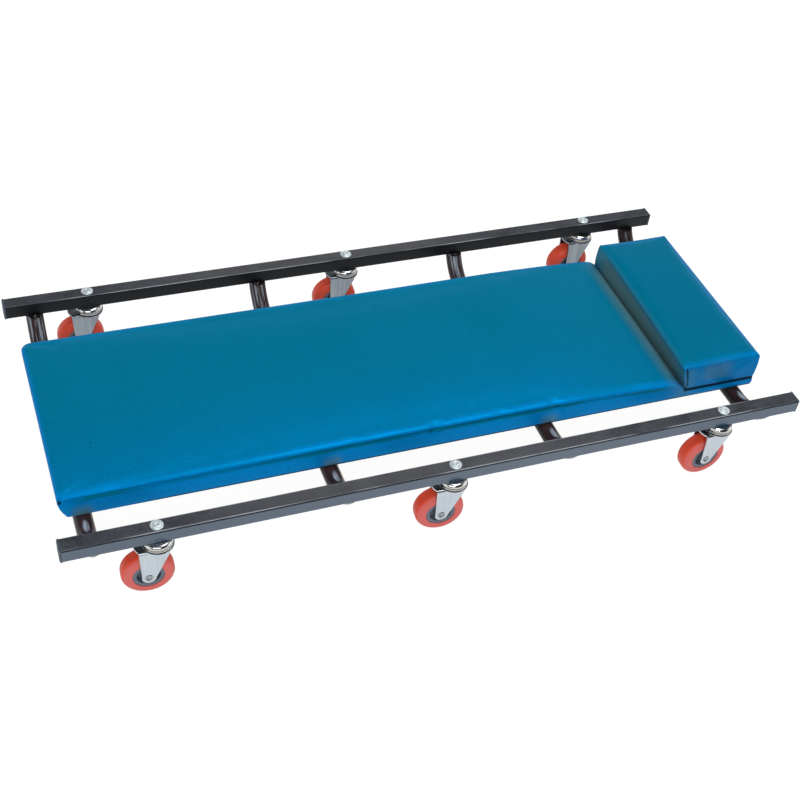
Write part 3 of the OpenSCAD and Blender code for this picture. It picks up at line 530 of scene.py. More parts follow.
class PadGrid:
    """Grid over the top of a pad, and the rings that run down its sides and in under its board.

    low and high are the corners of its outline. radii are the radii of its corners, seen from above,
    keyed by the signs of X and Y. zone is the length of each side that a corner takes up."""

    def __init__(self, low, high, cell, zone, radii):
        self.low = np.array(low)
        self.high = np.array(high)
        self.size = self.high - self.low
        self.middle = (self.low + self.high) / 2
        self.zone = zone
        self.radii = radii
        self.along_x = self.stops(self.size[0], cell)
        self.along_y = self.stops(self.size[1], cell)
        self.nx = len(self.along_x)
        self.ny = len(self.along_y)
        nx, ny = self.nx, self.ny
        self.border = ([(i, 0) for i in range(nx - 1)] + [(nx - 1, j) for j in range(ny - 1)]
                       + [(i, ny - 1) for i in range(nx - 1, 0, -1)] + [(0, j) for j in range(ny - 1, 0, -1)])

    def stops(self, length, cell):
        """Distances along a side, with closer ones round the corner at each end."""
        near = [share * self.zone for share in CORNER_STOPS]
        count = round((length - 2 * self.zone) / cell)
        middle = np.linspace(self.zone, length - self.zone, count + 1)[1:-1]
        return np.array(near + list(middle) + [length - d for d in reversed(near)])

    def spread(self, distances, length, low, high):
        """Places from low to high for the stops of a side."""
        inner = low + self.zone + (distances - self.zone) / (length - 2 * self.zone) * (
            high - low - 2 * self.zone)
        places = np.where(distances < self.zone, low + distances, inner)
        return np.where(length - distances < self.zone, high - (length - distances), places)

    def plan(self, inset, lean=0.0):
        """X and Y of every grid place, on an outline that lies inset within the pad's.
        lean moves the foot end out."""
        low = self.low + inset - np.array([lean, 0.0])
        high = self.high - inset
        xs = self.spread(self.along_x, self.size[0], low[0], high[0])
        ys = self.spread(self.along_y, self.size[1], low[1], high[1])
        grid_x, grid_y = np.meshgrid(xs, ys, indexing="ij")
        for (to_x, to_y), radius in self.radii.items():
            from_x = self.size[0] - self.along_x if to_x > 0 else self.along_x
            from_y = self.size[1] - self.along_y if to_y > 0 else self.along_y
            u, v = np.meshgrid(from_x, from_y, indexing="ij")
            zone = (u < self.zone) & (v < self.zone)
            u, v = u[zone], v[zone]
            ring = np.minimum(u, v)
            left = self.zone - ring
            bend = np.maximum(max(radius - inset, LEAST_RADIUS) - ring, 0)
            along = (np.maximum(u, v) - ring) / left
            arc = math.radians(45) * bend
            arc_share = arc / (arc + left - bend)
            turn = math.radians(45) * (1 - np.clip(along / np.maximum(arc_share, 1e-9), 0, 1))
            run = np.clip((along - arc_share) / (1 - arc_share), 0, 1) * (left - bend)
            far = ring + bend * (1 - np.sin(turn)) + run
            near = ring + bend * (1 - np.cos(turn))
            new_u, new_v = np.where(u >= v, far, near), np.where(u >= v, near, far)
            grid_x[zone] = high[0] - new_u if to_x > 0 else low[0] + new_u
            grid_y[zone] = high[1] - new_v if to_y > 0 else low[1] + new_v
        return grid_x, grid_y


class Cushion:
    """A pad's cover as rings of points: crowned top, rolled edge, sides and the hem under its board.

    edge and full are functions of x: the height of the top at its edge, and how full the foam is
    there. bead is the width of the rolled edge, drop its height, and lean how far the foot end leans
    out."""

    def __init__(self, grid, bead, drop, lean, low_z, edge, full, crown, draw, swell):
        self.grid, self.bead, self.drop, self.lean, self.low_z = grid, bead, drop, lean, low_z
        self.edge, self.full, self.draw, self.swell = edge, full, draw, swell
        self.rings = []
        self.kinds = []
        self.levels = []
        x, y = self.outline(bead, 1, 1)
        half = grid.size / 2
        across = np.abs(y - grid.middle[1]) / (half[1] - bead)
        down = np.abs(x - grid.middle[0]) / (half[0] - bead)
        rise = (1 - np.clip(across, 0, 1) ** 3.2) * (1 - np.clip(down, 0, 1) ** 10)
        self.top = [x, y, edge(x) + crown * rise * full(x)]

    def outline(self, inset, lean_share, draw_share):
        """The grid's plan, with the long sides drawn in at their middle."""
        x, y = self.grid.plan(inset, self.lean * lean_share)
        run = np.clip((x - self.grid.low[0]) / self.grid.size[0], 0, 1)
        out = (y - self.grid.middle[1]) / (self.grid.size[1] / 2)
        drawn = self.draw * draw_share * np.clip(self.full(x), 0, 1) * np.sin(math.pi * run)
        return x, y - np.sign(out) * np.abs(out) ** 6 * drawn

    def ring(self, kind, inset, lean_share, draw_share, height, level=0.0):
        """Adds a ring. level is its depth below the rolled edge."""
        x, y = self.outline(inset, lean_share, draw_share)
        self.rings.append([x, y, height(x)])
        self.kinds.append(kind)
        self.levels.append(level)

    def roll(self, x):
        """Height of the rolled edge, smaller where the foam is squeezed."""
        return self.drop * np.maximum(self.full(x), LEAST_ROLL)

    def below(self, x, depth):
        """Height at a depth below the rolled edge, less deep where the foam is squeezed."""
        return self.edge(x) - self.roll(x) - depth * np.clip(self.full(x), LEAST_SIDE, 1)

    def add_edge(self, steps=5):
        for step in range(1, steps + 1):
            angle = math.radians(90 * (1 - step / steps))
            self.ring("bead", self.bead * (1 - math.cos(angle)), 1, 1,
                      lambda x: self.edge(x) - self.roll(x) * (1 - math.sin(angle)))

    def add_sides(self, depths, rows):
        """Rows at the depths given below the rolled edge, then evenly spaced down to the board."""
        foot = self.low_z + BASE_ROLL
        for depth in depths:
            self.ring("crease", 0.0, 1, 0.95, lambda x: np.maximum(self.below(x, depth), foot), depth)
        start = depths[-1] if depths else 0.0
        for row in range(1, rows):
            share = 1 - row / rows
            bulge = self.swell * math.sin(math.pi * share)
            self.ring("side", -bulge, share ** 0.8, share,
                      lambda x: foot + share * np.maximum(self.below(x, start) - foot, 0))

    def add_hem(self, width):
        turned_in = 0.0018
        for inset, height in ((0.0, BASE_ROLL), (0.0005, 0.0005), (turned_in, 0.0)):
            self.ring("base", inset, 0, 0, lambda x: self.low_z + height + 0 * x)
        for share in (0.3, 0.65, 1.0):
            self.ring("hem", turned_in + share * (width - turned_in), 0, 0, lambda x: self.low_z + 0 * x)

    def build(self, depths, rows, hem):
        """Points, faces, and the kind and level of the ring that each point is on. The hem is open.

        depths are those of the rows in the crease, rows counts the others, and hem is its width."""
        self.add_edge()
        self.add_sides(depths, rows)
        self.add_hem(hem)
        nx, ny, border = self.grid.nx, self.grid.ny, self.grid.border
        points = [tuple(c[i, j] for c in self.top) for i in range(nx) for j in range(ny)]
        kinds = ["top"] * len(points)
        levels = [-1.0] * len(points)
        faces = [(i * ny + j, (i + 1) * ny + j, (i + 1) * ny + j + 1, i * ny + j + 1)
                 for i in range(nx - 1) for j in range(ny - 1)]
        before = [i * ny + j for i, j in border]
        count = len(border)
        for ring, kind, level in zip(self.rings, self.kinds, self.levels):
            now = list(range(len(points), len(points) + count))
            points += [tuple(c[i, j] for c in ring) for i, j in border]
            kinds += [kind] * count
            levels += [level] * count
            faces += [(before[k], now[k], now[(k + 1) % count], before[(k + 1) % count])
                      for k in range(count)]
            before = now
        return np.array(points), faces, np.array(kinds), np.array(levels)


def bell(values, middle, width):
    return np.exp(-((values - middle) / width) ** 2)


CLOTH_FRAMES = 20
CLOTH_SETTINGS = {
    "quality": 6, "mass": 0.3, "vertex_group_mass": "held", "use_pressure": True,
    "uniform_pressure_force": 4.0, "shrink_min": -0.012, "tension_stiffness": 20,
    "compression_stiffness": 20, "bending_stiffness": 1.0}


def inflate(points, faces, held, cap):
    """Blows the cover up a little as cloth, held where held is true. No point moves more than cap."""
    scene = bpy.context.scene
    mesh = bpy.data.meshes.new("cloth_cover")
    mesh.from_pydata([tuple(p) for p in points], [], faces)
    cloth_piece = bpy.data.objects.new("cloth_cover", mesh)
    scene.collection.objects.link(cloth_piece)
    pins = cloth_piece.vertex_groups.new(name="held")
    pins.add([int(k) for k in np.flatnonzero(held)], 1.0, "REPLACE")
    cloth = cloth_piece.modifiers.new("cloth", "CLOTH")
    for setting, value in CLOTH_SETTINGS.items():
        setattr(cloth.settings, setting, value)
    cloth.settings.effector_weights.gravity = 0.0
    cloth.collision_settings.use_collision = False
    cloth.point_cache.frame_start = 1
    cloth.point_cache.frame_end = CLOTH_FRAMES
    for step in range(1, CLOTH_FRAMES + 1):
        scene.frame_set(step)
    graph = bpy.context.evaluated_depsgraph_get()
    blown = cloth_piece.evaluated_get(graph).to_mesh()
    places = np.empty(len(points) * 3)
    blown.vertices.foreach_get("co", places)
    cloth_piece.evaluated_get(graph).to_mesh_clear()
    scene.frame_set(1)
    bpy.data.objects.remove(cloth_piece)
    bpy.data.meshes.remove(mesh)
    move = places.reshape(-1, 3) - points
    distance = np.linalg.norm(move, axis=1, keepdims=True)
    move *= cap * np.tanh(distance / cap) / np.maximum(distance, 1e-9)
    for axis in (0, 1):
        outward = np.where(points[:, axis] > points[:, axis].mean(), 1.0, -1.0)
        move[:, axis] = outward * np.maximum(move[:, axis] * outward, -0.2 * cap)
    move[:, 2] = np.maximum(move[:, 2], 0)
    return points + move


# Place along the deck, width, depth and slant of each pucker in the near edge
PUCKERS = ((-0.002, 0.0062, 0.0026, -1.2), (0.169, 0.006, 0.0024, 0.9), (-0.12, 0.009, 0.0009, 0.5),
           (0.09, 0.008, 0.0011, -0.6))
# Place along the deck, height over the bend, reach and darkness of each dark spot of painted shade below a
# pucker
DARK_TUCKS = (
    (-0.006, -0.002, 0.0034, 0.3), (-0.008, -0.0045, 0.0034, 0.36), (-0.0105, -0.0072, 0.0032, 0.34),
    (-0.013, -0.01, 0.003, 0.24), (0.171, -0.0026, 0.0034, 0.3), (0.1745, -0.005, 0.003, 0.22))
# Place along and across the deck, depth under its top, reach and darkness of each dimple, which is painted
# shade only
DIMPLES = ((-0.3619, 0.0145, 0.0005, 0.0022, 0.8), (-0.4335, -0.0637, 0.0015, 0.0026, 0.8))
NOTCH_SIZE = 0.0035  # of the notch in the deck's near foot corner


def crease_deck(points, kinds, levels, depth):
    """Crease under the deck's rolled long edges, the puckers in it and the notch at the foot corner."""
    x, y, z = points.T
    out = np.sign(y)
    side = np.clip((np.abs(y) - SIDE_START) / 0.008, 0, 1)
    wave = np.array([noise.noise(Vector((px * 7, s * 5, 3.7))) for px, s in zip(x, out)])
    run = np.clip((0.34 - x) / 0.2, 0.0, 1) * (1 + 0.8 * wave) * np.clip((x + 0.486) / 0.03, 0.2, 1)
    groove = bell(levels, 0.0022, 0.0022) * (kinds == "crease")
    lip = bell(levels, 0.0052, 0.003) * (kinds == "crease")
    points[:, 1] -= out * depth * side * run * groove
    points[:, 2] += 0.3 * depth * side * run * lip
    rolled = np.isin(kinds, ("crease", "bead")) | ((kinds == "top") & (side > 0.2))
    for pucker_x, width, sink, slant in PUCKERS:
        middle = pucker_x + slant * np.clip(levels, 0, 0.01)
        dent = bell(x, middle, width) * side * rolled
        ridge = bell(x, middle + 1.9 * width, 1.2 * width) * side * rolled
        points[:, 1] += sink * (dent - 0.3 * ridge) * (y < 0)
        points[:, 2] += sink * (0.25 * ridge - 0.7 * dent) * (y < 0)
    apart = np.hypot(x - (DECK_LOW.x + 0.0015), y - (DECK_LOW.y + 0.001))
    notch = bell(apart, 0, NOTCH_SIZE) * bell(levels, 0.0005, 0.0022) * np.isin(kinds, ("crease", "bead"))
    points[:, 0] += NOTCH_SIZE * notch
    points[:, 1] += 0.003 * notch


def near_side_y(points, x, z):
    """Place across of the near side where it is closest to an x and z."""
    apart = np.hypot(points[:, 0] - x, points[:, 2] - z) + (points[:, 1] > 0)
    return float(points[apart.argmin(), 1])


FOOT_LEAN = 0.0098  # of the right end of the headrest's foot face, at its top
LEAN_START, LEAN_HEIGHT = 0.01, 0.029


def foot_lean(z):
    """How far the right end of the headrest's foot face leans out at a height."""
    return FOOT_LEAN * np.clip((z - REST_LOW.z - LEAN_START) / LEAN_HEIGHT, 0, 1) ** 0.75


def fold_x(z, high_z, right):
    """Place of the tucked fold at a height, on the right side or on the left one."""
    share = np.clip((z - REST_LOW.z) / (high_z - REST_LOW.z), 0, 1)
    corner_x = REST_LOW.x + 0.0014 - foot_lean(z) * right
    return corner_x + 0.0036 * share + 0.0026 * (1 - (2 * share - 1) ** 2)


def fold_corner(points, kinds, high_z):
    """Tucked fold on each long side of the headrest, just past its foot corner."""
    x, y, z = points.T
    share = np.clip((z - REST_LOW.z) / (high_z - REST_LOW.z), 0, 1)
    middle = fold_x(z, high_z, y < 0)
    on_side = np.clip((np.abs(y) - REST_HIGH.y + 0.004) / 0.002, 0, 1) * np.isin(kinds, ("bead", "side"))
    strength = np.clip((1.0 - share) / 0.12, 0, 1)
    groove = bell(x, middle, 0.0011) * on_side * strength
    lobe = bell(x, middle - 0.003, 0.0022) * on_side * strength
    points[:, 1] -= np.sign(y) * (0.0022 * groove - 0.0011 * lobe)


def add_cover(name, points, faces, material, thickness):
    """A pad's cover: its skin, smoothed once, then given the vinyl's thickness on the inner side."""
    cover = add_mesh(name, points, faces, material)
    subdivision = cover.modifiers.new("smooth", "SUBSURF")
    subdivision.levels = 1
    subdivision.render_levels = 1
    apply_modifiers(cover)
    solidify = cover.modifiers.new("vinyl", "SOLIDIFY")
    solidify.thickness = thickness
    solidify.offset = -1
    apply_modifiers(cover)
    return cover


# How far a pad's top rises in its middle, and how far its long sides are drawn in there
DECK_CROWN, DECK_DRAW = 0.003, 0.0015
REST_CROWN, REST_DRAW = 0.0035, 0.0012
DECK_ZONE, REST_ZONE = 0.015, 0.009  # length of each side that a corner takes up
DECK_LEAN = 0.009  # how far the foot end leans out from its base to its top
DIP_LENGTH, DIP_POWER = 0.18, 0.22  # the run over which the foam is squeezed towards the headrest
CREASE_ROWS = (0.0014, 0.0028, 0.0042, 0.0058, 0.0076)  # depths under the rolled edge
CREASE_DEPTH = 0.0042  # of the darkest line in the crease, under the edge
FOAM_UNDER = 0.0022  # how far the foam's top lies under the cover's
FOAM_HEM = 0.02


class CREEPER_OT_deck_cushion(bpy.types.Operator):
    """Padded deck: its foam and its vinyl cover"""

    bl_idname = "creeper.deck_cushion"
    bl_label = "Deck cushion"

    def execute(self, context):
        sizes, colours = context.scene.creeper_sizes, context.scene.creeper_colours
        rest_x = REST_LOW.x
        flat_z = BOARD_HIGH.z + sizes.vinyl + 0.0002
        foam = DECK_HIGH.z - DECK_CROWN - flat_z

        def full(gx):
            return np.clip((rest_x - gx) / DIP_LENGTH, 0, 1) ** DIP_POWER

        corners = {(-1, -1): 0.003, (-1, 1): 0.013, (1, -1): 0.003, (1, 1): 0.004}
        grid = PadGrid((DECK_LOW.x + DECK_LEAN, DECK_LOW.y + SWELL),
                       (DECK_HIGH.x - SWELL, DECK_HIGH.y - SWELL), sizes.cell, zone=DECK_ZONE, radii=corners)
        pad = Cushion(grid, sizes.deck_bead, sizes.deck_drop, lean=DECK_LEAN, low_z=DECK_LOW.z,
                      edge=lambda x: flat_z + foam * full(x), full=full, crown=DECK_CROWN, draw=DECK_DRAW,
                      swell=SWELL)
        points, faces, kinds, levels = pad.build(CREASE_ROWS, rows=4, hem=sizes.deck_hem)
        held = np.isin(kinds, ("base", "hem")) | (points[:, 0] > rest_x - 0.002)
        points = inflate(points, faces, held, cap=0.0016)
        crease_deck(points, kinds, levels, sizes.deck_crease)
        junction = junction_marks(rest_x, 0.034)
        tubes = tube_marks(TUBE_X[:3], DECK_LOW.z, DECK_LOW.z + 0.024)

        # Grey painted shade where the pads meet, and grey painted reflection of the tubes on the near side
        def greyed(finish, x, y, z):
            return junction(finish, x, y, z).most(tubes(finish, x, y, z))

        bend_z = flat_z + foam - sizes.deck_drop
        notch = (DECK_LOW.x + 0.003, DECK_LOW.y + 0.0025, flat_z + foam - sizes.deck_bead)
        # Dark spots of painted shade in the notch, the dimples and below the puckers
        spots = [(notch, NOTCH_SIZE, 0.92)]
        spots += [((x, y, DECK_HIGH.z - depth), reach, share) for x, y, depth, reach, share in DIMPLES]
        spots += [((x, near_side_y(points, x, bend_z + lift), bend_z + lift), reach, share)
                  for x, lift, reach, share in DARK_TUCKS]

        # Height of the painted shade line in the crease under the rolled edge
        def crease_z(x):
            run = ((-x + rest_x) / DIP_LENGTH).most(0.0).least(1.0).power(DIP_POWER)
            return run * (foam - CREASE_DEPTH) + flat_z - run.most(LEAST_ROLL) * sizes.deck_drop

        # Painted shade on the deck's cover just under the headrest's edge
        def seam(x, z):
            under_rest = z.between(REST_LOW.z - 0.0036, REST_LOW.z - 0.0014, 0.0, 0.9)
            return under_rest * x.between(rest_x, rest_x + 0.002)

        vinyl = vinyl_finish(colours, "deck_vinyl", greyed, -1, seam, crease_z, spots, tint=0.5, depth=0.0)
        cover = add_cover("deck_cushion_cover", points, faces, vinyl, sizes.vinyl)
        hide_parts("deck_cover")
        inner = PadGrid((DECK_LOW.x + 0.018, DECK_LOW.y + 0.0068), (rest_x - 0.003, DECK_HIGH.y - 0.0068),
                        sizes.cell * 2, zone=DECK_ZONE, radii=corners)
        slab = Cushion(inner, sizes.deck_bead, sizes.deck_drop, lean=0.006, low_z=BOARD_HIGH.z,
                       edge=lambda x: flat_z - FOAM_UNDER + foam * full(x), full=full, crown=DECK_CROWN,
                       draw=DECK_DRAW, swell=0.0)
        points, faces = slab.build((0.002,), rows=3, hem=FOAM_HEM)[:2]
        foam_piece = add_mesh("deck_foam_slab", points, faces, foam_finish())
        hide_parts("deck_foam")
        return {"FINISHED"}


# The fold's dark spots are painted shade
FOLD_SPOTS = 13  # dark spots that follow the tucked fold on each long side


class CREEPER_OT_headrest(bpy.types.Operator):
    """Headrest: its foam and its vinyl cover"""

    bl_idname = "creeper.headrest"
    bl_label = "Headrest"

    def execute(self, context):
        sizes, colours = context.scene.creeper_sizes, context.scene.creeper_colours
        edge = REST_HIGH.z - REST_CROWN
        corners = {(x, y): 0.003 for x in (-1, 1) for y in (-1, 1)}
        grid = PadGrid((REST_LOW.x + SWELL, REST_LOW.y + SWELL), (REST_HIGH.x - SWELL, REST_HIGH.y - SWELL),
                       sizes.cell * 0.8, zone=REST_ZONE, radii=corners)
        pad = Cushion(grid, sizes.rest_bead, sizes.rest_bead, lean=0.0, low_z=REST_LOW.z,
                      edge=lambda x: edge + 0 * x, full=np.ones_like, crown=REST_CROWN, draw=REST_DRAW,
                      swell=SWELL)
        points, faces, kinds, levels = pad.build((), rows=8, hem=sizes.rest_hem)
        points = inflate(points, faces, np.isin(kinds, ("base", "hem")), cap=0.001)
        near = np.clip(0.5 - points[:, 1] / (REST_HIGH.y - REST_LOW.y), 0, 1) ** 1.6
        foot = np.clip(1 - (points[:, 0] - REST_LOW.x) / 0.07, 0, 1)
        points[:, 0] -= foot_lean(points[:, 2]) * near * foot
        fold_corner(points, kinds, edge)
        junction = junction_marks(REST_LOW.x, 0.03)

        # Grey painted shade where the pads meet, and a grey patch on the near side
        def greyed(finish, x, y, z):
            band = junction(finish, x, y, z) * z.between(REST_LOW.z + 0.028, edge + 0.0022, 1.0, 0.0)
            patch = abs(x - (REST_LOW.x + 0.047)).between(0.008, 0.036, 0.34, 0.0)
            patch = patch * abs(z - (REST_LOW.z + 0.026)).between(0.006, 0.018, 1.0, 0.0)
            return band.most(patch * (-y).between(SIDE_START, SIDE_END))

        # Dark spots of painted shade along the tucked fold on each long side
        folds = []
        for step in range(FOLD_SPOTS):
            height = REST_LOW.z + step / FOLD_SPOTS * (edge - REST_LOW.z)
            folds += [((fold_x(height, edge, side < 0), side * (REST_HIGH.y - 0.0022), height), 0.0026, 0.92)
                      for side in (-1, 1)]

        # Painted shade along the headrest's bottom edge, where it sits on the deck
        def seam(x, z):
            return z.between(REST_LOW.z + 0.0014, REST_LOW.z + 0.0042, 0.95, 0.0)

        vinyl = vinyl_finish(colours, "headrest_vinyl", greyed, 1, seam, None, folds, tint=0.12, depth=0.09)
        cover = add_cover("headrest_cover_pad", points, faces, vinyl, sizes.vinyl)
        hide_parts("headrest_cover")
        inner = PadGrid((REST_LOW.x + 0.006, REST_LOW.y + 0.006), (REST_HIGH.x - 0.006, REST_HIGH.y - 0.006),
                        sizes.cell * 1.6, zone=REST_ZONE, radii=corners)
        foam = Cushion(inner, sizes.rest_bead, sizes.rest_bead, lean=0.0, low_z=REST_BOARD_HIGH.z,
                        edge=lambda x: edge - FOAM_UNDER + 0 * x, full=np.ones_like, crown=REST_CROWN,
                        draw=REST_DRAW, swell=0.0)
        points, faces = foam.build((), rows=5, hem=FOAM_HEM)[:2]
        foam_piece = add_mesh("headrest_foam_block", points, faces, foam_finish())
        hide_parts("headrest_foam")
        return {"FINISHED"}


def lathe(profile, middle, axis, sides):
    """Points and faces of a profile, given as radius and distance along the axis, turned about it."""
    middle, axis = Vector(middle), Vector(axis).normalized()
    across = axis.orthogonal().normalized()
    up = axis.cross(across)
    points = []
    for radius, along in profile:
        for k in range(sides):
            angle = 2 * math.pi * k / sides
            points.append(middle + axis * along + radius * (math.cos(angle) * across + math.sin(angle) * up))
    faces = []
    for row in range(len(profile) - 1):
        for k in range(sides):
            after = (k + 1) % sides
            faces.append((row * sides + k, row * sides + after, (row + 1) * sides + after,
                          (row + 1) * sides + k))
    faces.append(tuple(reversed(range(sides))))
    faces.append(tuple(range((len(profile) - 1) * sides, len(profile) * sides)))
    return points, faces


def joint_line(name):
    """Place and direction of a joint's axis."""
    joint = next(joint for joint in frame["joints"] if joint["name"] == name)
    return joint["pos_m"], joint["axis"]


def rivet_profile(half, head, radius, flange, dish, depth, bush, bush_half):
    """A rivet with a dished head at each end and the bush between its legs.
    half is half the distance between the heads."""
    top = half + head
    end = [(0.0004, top - depth), (0.6 * dish, top - depth), (0.86 * dish, top - 0.75 * depth),
           (dish, top - 0.22 * depth), (dish + 0.12 * (flange - dish), top - 0.04 * head),
           (dish + 0.45 * (flange - dish), top), (dish + 0.85 * (flange - dish), top - 0.15 * head),
           (flange, top - 0.5 * head), (flange, half), (radius, half), (radius, bush_half),
           (bush, bush_half)]
    return [(r, -along) for r, along in end] + [(r, along) for r, along in reversed(end)]


class CREEPER_OT_frame_finish(bpy.types.Operator):
    """Paint of the rails and the cross tubes, and the end caps' plastic"""

    bl_idname = "creeper.frame_finish"
    bl_label = "Frame finish"

    def execute(self, context):
        colours = context.scene.creeper_colours
        cap = plastic_finish("cap_plastic_black", linear(66, 78, 90), roughness=0.42)
        dress(rail_finish(colours), "rail_left", "rail_right")
        dress(tube_finish(colours), *[f"cross_tube_{number}" for number in (1, 2, 3, 4)])
        dress(cap, *[f"cap_{end}_{side}" for end in ("foot", "head") for side in ("left", "right")])
        return {"FINISHED"}


BOLT_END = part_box("caster_bolts")[0].z - RAIL_HIGH.z
# Radius and height over the rail, from the recess in the head down to the end of the shank
BOLT_PROFILE = (
    (0.0003, 0.0027), (0.0018, 0.0028), (0.0023, 0.0035), (0.0027, 0.0038), (0.0042, 0.0036),
    (0.0056, 0.003), (0.0065, 0.0022), (0.0069, 0.0018), (0.0075, 0.0018), (0.008, 0.0014),
    (0.0081, 0.0007), (0.0079, 0.0), (0.004, 0.0), (0.004, BOLT_END + 0.0006), (0.0034, BOLT_END))
BOLT_SIDES, RIVET_SIDES = 36, 40


class CREEPER_OT_boards(bpy.types.Operator):
    """Plywood boards, with the screws, tee nuts and staples in them"""

    bl_idname = "creeper.boards"
    bl_label = "Boards and fasteners"

    def execute(self, context):
        dress(plywood_finish("deck_plywood", BOARD_LOW.z, BOARD_HIGH.z - BOARD_LOW.z), "deck_board")
        dress(plywood_finish("headrest_plywood", REST_BOARD_LOW.z, REST_BOARD_HIGH.z - REST_BOARD_LOW.z),
              "headrest_board")
        zinc = metal_finish("screw_zinc", linear(242, 252, 255), roughness=0.55, grain=900.0, relief=0.00003)
        dress(zinc, "deck_screws", "headrest_screws", "caster_nuts")
        points, faces = [], []
        for name in CASTERS:
            x, y, _ = joint_line(f"swivel_{name}")[0]
            more, sides = lathe(BOLT_PROFILE, (x, y, RAIL_HIGH.z), (0, 0, 1), BOLT_SIDES)
            faces += [tuple(k + len(points) for k in side) for side in sides]
            points += more
        bolts = add_mesh("caster_dome_bolts", points, faces, zinc)
        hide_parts("caster_bolts")
        steel = metal_finish("bright_steel", linear(196, 198, 202), 0.22, grain=900.0, relief=0.00003)
        dress(steel, "deck_tee_nuts", "cover_staples", "caster_kingpins",
              *[f"caster_{name}_balls" for name in CASTERS])
        return {"FINISHED"}


class CREEPER_OT_casters(bpy.types.Operator):
    """Plated cups, forks and axles"""

    bl_idname = "creeper.casters"
    bl_label = "Casters"

    def execute(self, context):
        cup_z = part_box("caster_foot_left_cup")[0].z
        chrome = metal_finish("cup_chrome", linear(224, 224, 222), 0.19, grain=500.0, relief=0.00002,
                              band=(cup_z + 0.0013, cup_z + 0.0052))
        plate = metal_finish("fork_zinc", linear(196, 206, 212), 0.24, grain=1100.0, relief=0.00004,
                             lines=0.14)
        # Painted shade: the left forks get a darker copy of the zinc, a little rougher and with stronger
        # press lines
        darkened = metal_finish("fork_zinc_shaded", linear(150, 158, 166), 0.3, grain=1100.0, relief=0.00004,
                            lines=0.4)
        zinc = metal_finish("rivet_zinc", linear(176, 184, 188), 0.34, grain=1100.0, relief=0.00004)
        profile = rivet_profile(half=0.01502, head=0.0009, radius=0.0039, flange=0.0052, dish=0.0034,
                                depth=0.0026, bush=0.005, bush_half=0.0129)
        for name in CASTERS:
            dress(chrome, f"caster_{name}_cup")
            dress(darkened if name.endswith("left") else plate, f"caster_{name}_fork")
            points, faces = lathe(profile, *joint_line(f"spin_{name}"), RIVET_SIDES)
            rivet = add_mesh(f"caster_{name}_rivet", points, faces, zinc, f"fork_{name}")
            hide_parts(f"caster_{name}_axle")
        return {"FINISHED"}


class CREEPER_OT_wheels(bpy.types.Operator):
    """Tyres and hubs"""

    bl_idname = "creeper.wheels"
    bl_label = "Wheels"

    def execute(self, context):
        colours = context.scene.creeper_colours
        urethane = tyre_finish(colours)
        moulded = plastic_finish("hub_plastic_grey", colours.hub, roughness=0.46)
        for name in CASTERS:
            dress(urethane, f"caster_{name}_tyre")
            dress(moulded, f"caster_{name}_hub")
        return {"FINISHED"}


CAMERA_RIGHT = Vector((0.93413185, -0.34242712, 0.10070425))
CAMERA_UP = Vector((0.17050842, 0.6759814, 0.71692122))
CAMERA_BACK = Vector((-0.31356747, -0.65252802, 0.68984246))
CAMERA_PLACE = Vector((-0.57101442, -1.20241389, 1.28350569))
CAMERA_LENS = 58.53


def area_light(name, place, toward, size, power, colour=(1, 1, 1)):
    lamp = bpy.data.lights.new(name, "AREA")
    lamp.shape = "RECTANGLE"
    lamp.size, lamp.size_y = size
    lamp.energy = power
    lamp.color = colour
    light = bpy.data.objects.new(name, lamp)
    light.location = place
    light.rotation_euler = (Vector(toward) - Vector(place)).to_track_quat("-Z", "Y").to_euler()
    bpy.context.scene.collection.objects.link(light)


def stage_plane(name, middle, half_u, half_v, material):
    """A flat sheet of the studio, from its middle and its two half sides."""
    corners = [Vector(middle) + u * Vector(half_u) + v * Vector(half_v)
               for u, v in ((-1, -1), (1, -1), (1, 1), (-1, 1))]
    mesh = bpy.data.meshes.new(name)
    mesh.from_pydata([tuple(c) for c in corners], [], [(0, 1, 2, 3)])
    mesh.materials.append(material)
    sheet = bpy.data.objects.new(name, mesh)
    bpy.context.scene.collection.objects.link(sheet)
    return sheet


def camera_sees(tree):
    """1 where the camera sees the surface itself, in a reflection or through something."""
    path = tree.nodes.new("ShaderNodeLightPath")
    seen = path.outputs["Is Camera Ray"]
    for other in ("Is Glossy Ray", "Is Transmission Ray"):
        either = tree.nodes.new("ShaderNodeMath")
        either.operation = "MAXIMUM"
        tree.links.new(seen, either.inputs[0])
        tree.links.new(path.outputs[other], either.inputs[1])
        seen = either.outputs[0]
    return seen


def show_camera(tree, plain, bright, output, share):
    """Mixes a share of the bright shader in where the camera sees it, and leaves the rest plain."""
    factor = tree.nodes.new("ShaderNodeMath")
    factor.operation = "MULTIPLY"
    factor.inputs[1].default_value = share
    both = tree.nodes.new("ShaderNodeMixShader")
    tree.links.new(camera_sees(tree), factor.inputs[0])
    tree.links.new(factor.outputs[0], both.inputs[0])
    tree.links.new(plain.outputs[0], both.inputs[1])
    tree.links.new(bright.outputs[0], both.inputs[2])
    tree.links.new(both.outputs[0], tree.nodes[output].inputs["Surface"])


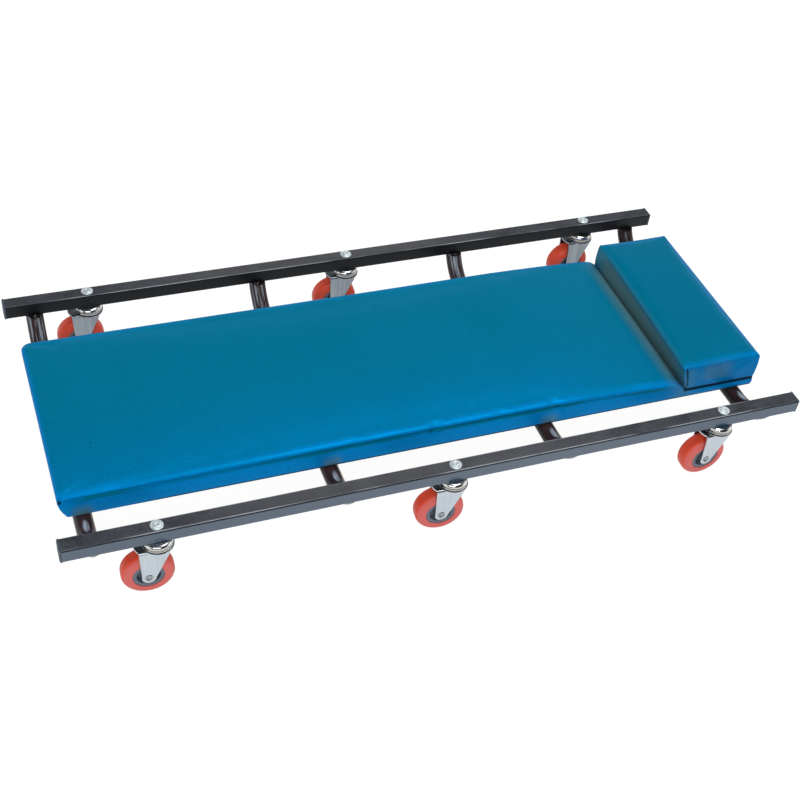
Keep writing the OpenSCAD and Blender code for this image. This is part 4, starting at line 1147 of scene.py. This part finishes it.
class CREEPER_OT_stage(bpy.types.Operator):
    """Pale floor, white surround, soft lights and the camera"""

    bl_idname = "creeper.stage"
    bl_label = "Studio"

    def execute(self, context):
        scene = context.scene
        camera = bpy.data.objects.new("camera", bpy.data.cameras.new("camera"))
        camera.data.lens = CAMERA_LENS
        camera.data.sensor_width = 36
        camera.data.clip_start = 0.05
        camera.data.clip_end = 60
        camera.matrix_world = Matrix.Translation(CAMERA_PLACE) @ Matrix(
            (CAMERA_RIGHT, CAMERA_UP, CAMERA_BACK)).transposed().to_4x4()
        scene.collection.objects.link(camera)
        scene.camera = camera
        world = bpy.data.worlds.new("studio")
        world.use_nodes = True
        tree = world.node_tree
        sky = tree.nodes["Background"]
        sky.inputs["Color"].default_value = (0.93, 0.96, 1.0, 1)
        sky.inputs["Strength"].default_value = 0.5
        white = tree.nodes.new("ShaderNodeBackground")
        white.inputs["Color"].default_value = (1, 1, 1, 1)
        show_camera(tree, sky, white, "World Output", 1.0)
        scene.world = world
        paper = Finish("studio_paper", Base_Color=(0.86, 0.86, 0.86, 1), Roughness=0.9,
                       Specular_IOR_Level=0.0)
        glow = paper.tree.nodes.new("ShaderNodeEmission")
        glow.inputs["Color"].default_value = (1, 1, 1, 1)
        glow.inputs["Strength"].default_value = 1.15
        show_camera(paper.tree, paper.shader, glow, "Material Output", 0.82)
        stage_plane("studio_floor", (0, 0, 0), (9, 0, 0), (0, 9, 0), paper.material)
        dark = Finish("studio_flag_grey", Base_Color=(0.05, 0.055, 0.06, 1), Roughness=1.0).material
        flags = (
            stage_plane("studio_ceiling", (0, 0.4, 3.1), (4.2, 0, 0), (0, 4.6, 0), dark),
            stage_plane("studio_front_flag", (0, -4.2, 1.6), (7, 0, 0), (0, 0, 1.5), dark),
        )
        for flag in flags:
            flag.visible_camera = False
            flag.visible_diffuse = False
            flag.visible_shadow = False
        area_light("overhead_softbox", (0.7, 0.05, 2.7), (0, 0, 0), (1.5, 1.0), 26)
        area_light("front_softbox", (-1.0, -2.3, 2.1), (0, 0, 0.05), (1.8, 0.8), 34, (0.95, 0.98, 1.0))
        scene.view_settings.view_transform = "Standard"
        return {"FINISHED"}


class CREEPER_PT_build(bpy.types.Panel):
    """Sizes, colours and the steps that build the creeper"""

    bl_label = "Mechanic creeper"
    bl_space_type = "VIEW_3D"
    bl_region_type = "UI"
    bl_category = "Creeper"

    def draw(self, context):
        for group in (context.scene.creeper_sizes, context.scene.creeper_colours):
            for name in group.__annotations__:
                self.layout.prop(group, name)
        for step in STEPS:
            self.layout.operator(step.bl_idname)


STEPS = (
    CREEPER_OT_stage,
    CREEPER_OT_frame_finish,
    CREEPER_OT_boards,
    CREEPER_OT_casters,
    CREEPER_OT_wheels,
    CREEPER_OT_deck_cushion,
    CREEPER_OT_headrest,
)
CLASSES = (CreeperSizes, CreeperColours, *STEPS, CREEPER_PT_build)


def register():
    for cls in CLASSES:
        bpy.utils.register_class(cls)
    bpy.types.Scene.creeper_sizes = bpy.props.PointerProperty(type=CreeperSizes)
    bpy.types.Scene.creeper_colours = bpy.props.PointerProperty(type=CreeperColours)


def unregister():
    del bpy.types.Scene.creeper_colours
    del bpy.types.Scene.creeper_sizes
    for cls in reversed(CLASSES):
        bpy.utils.unregister_class(cls)


def main():
    register()
    for step in STEPS:
        group, name = step.bl_idname.split(".")
        getattr(getattr(bpy.ops, group), name)()


if __name__ == "__main__":
    main()
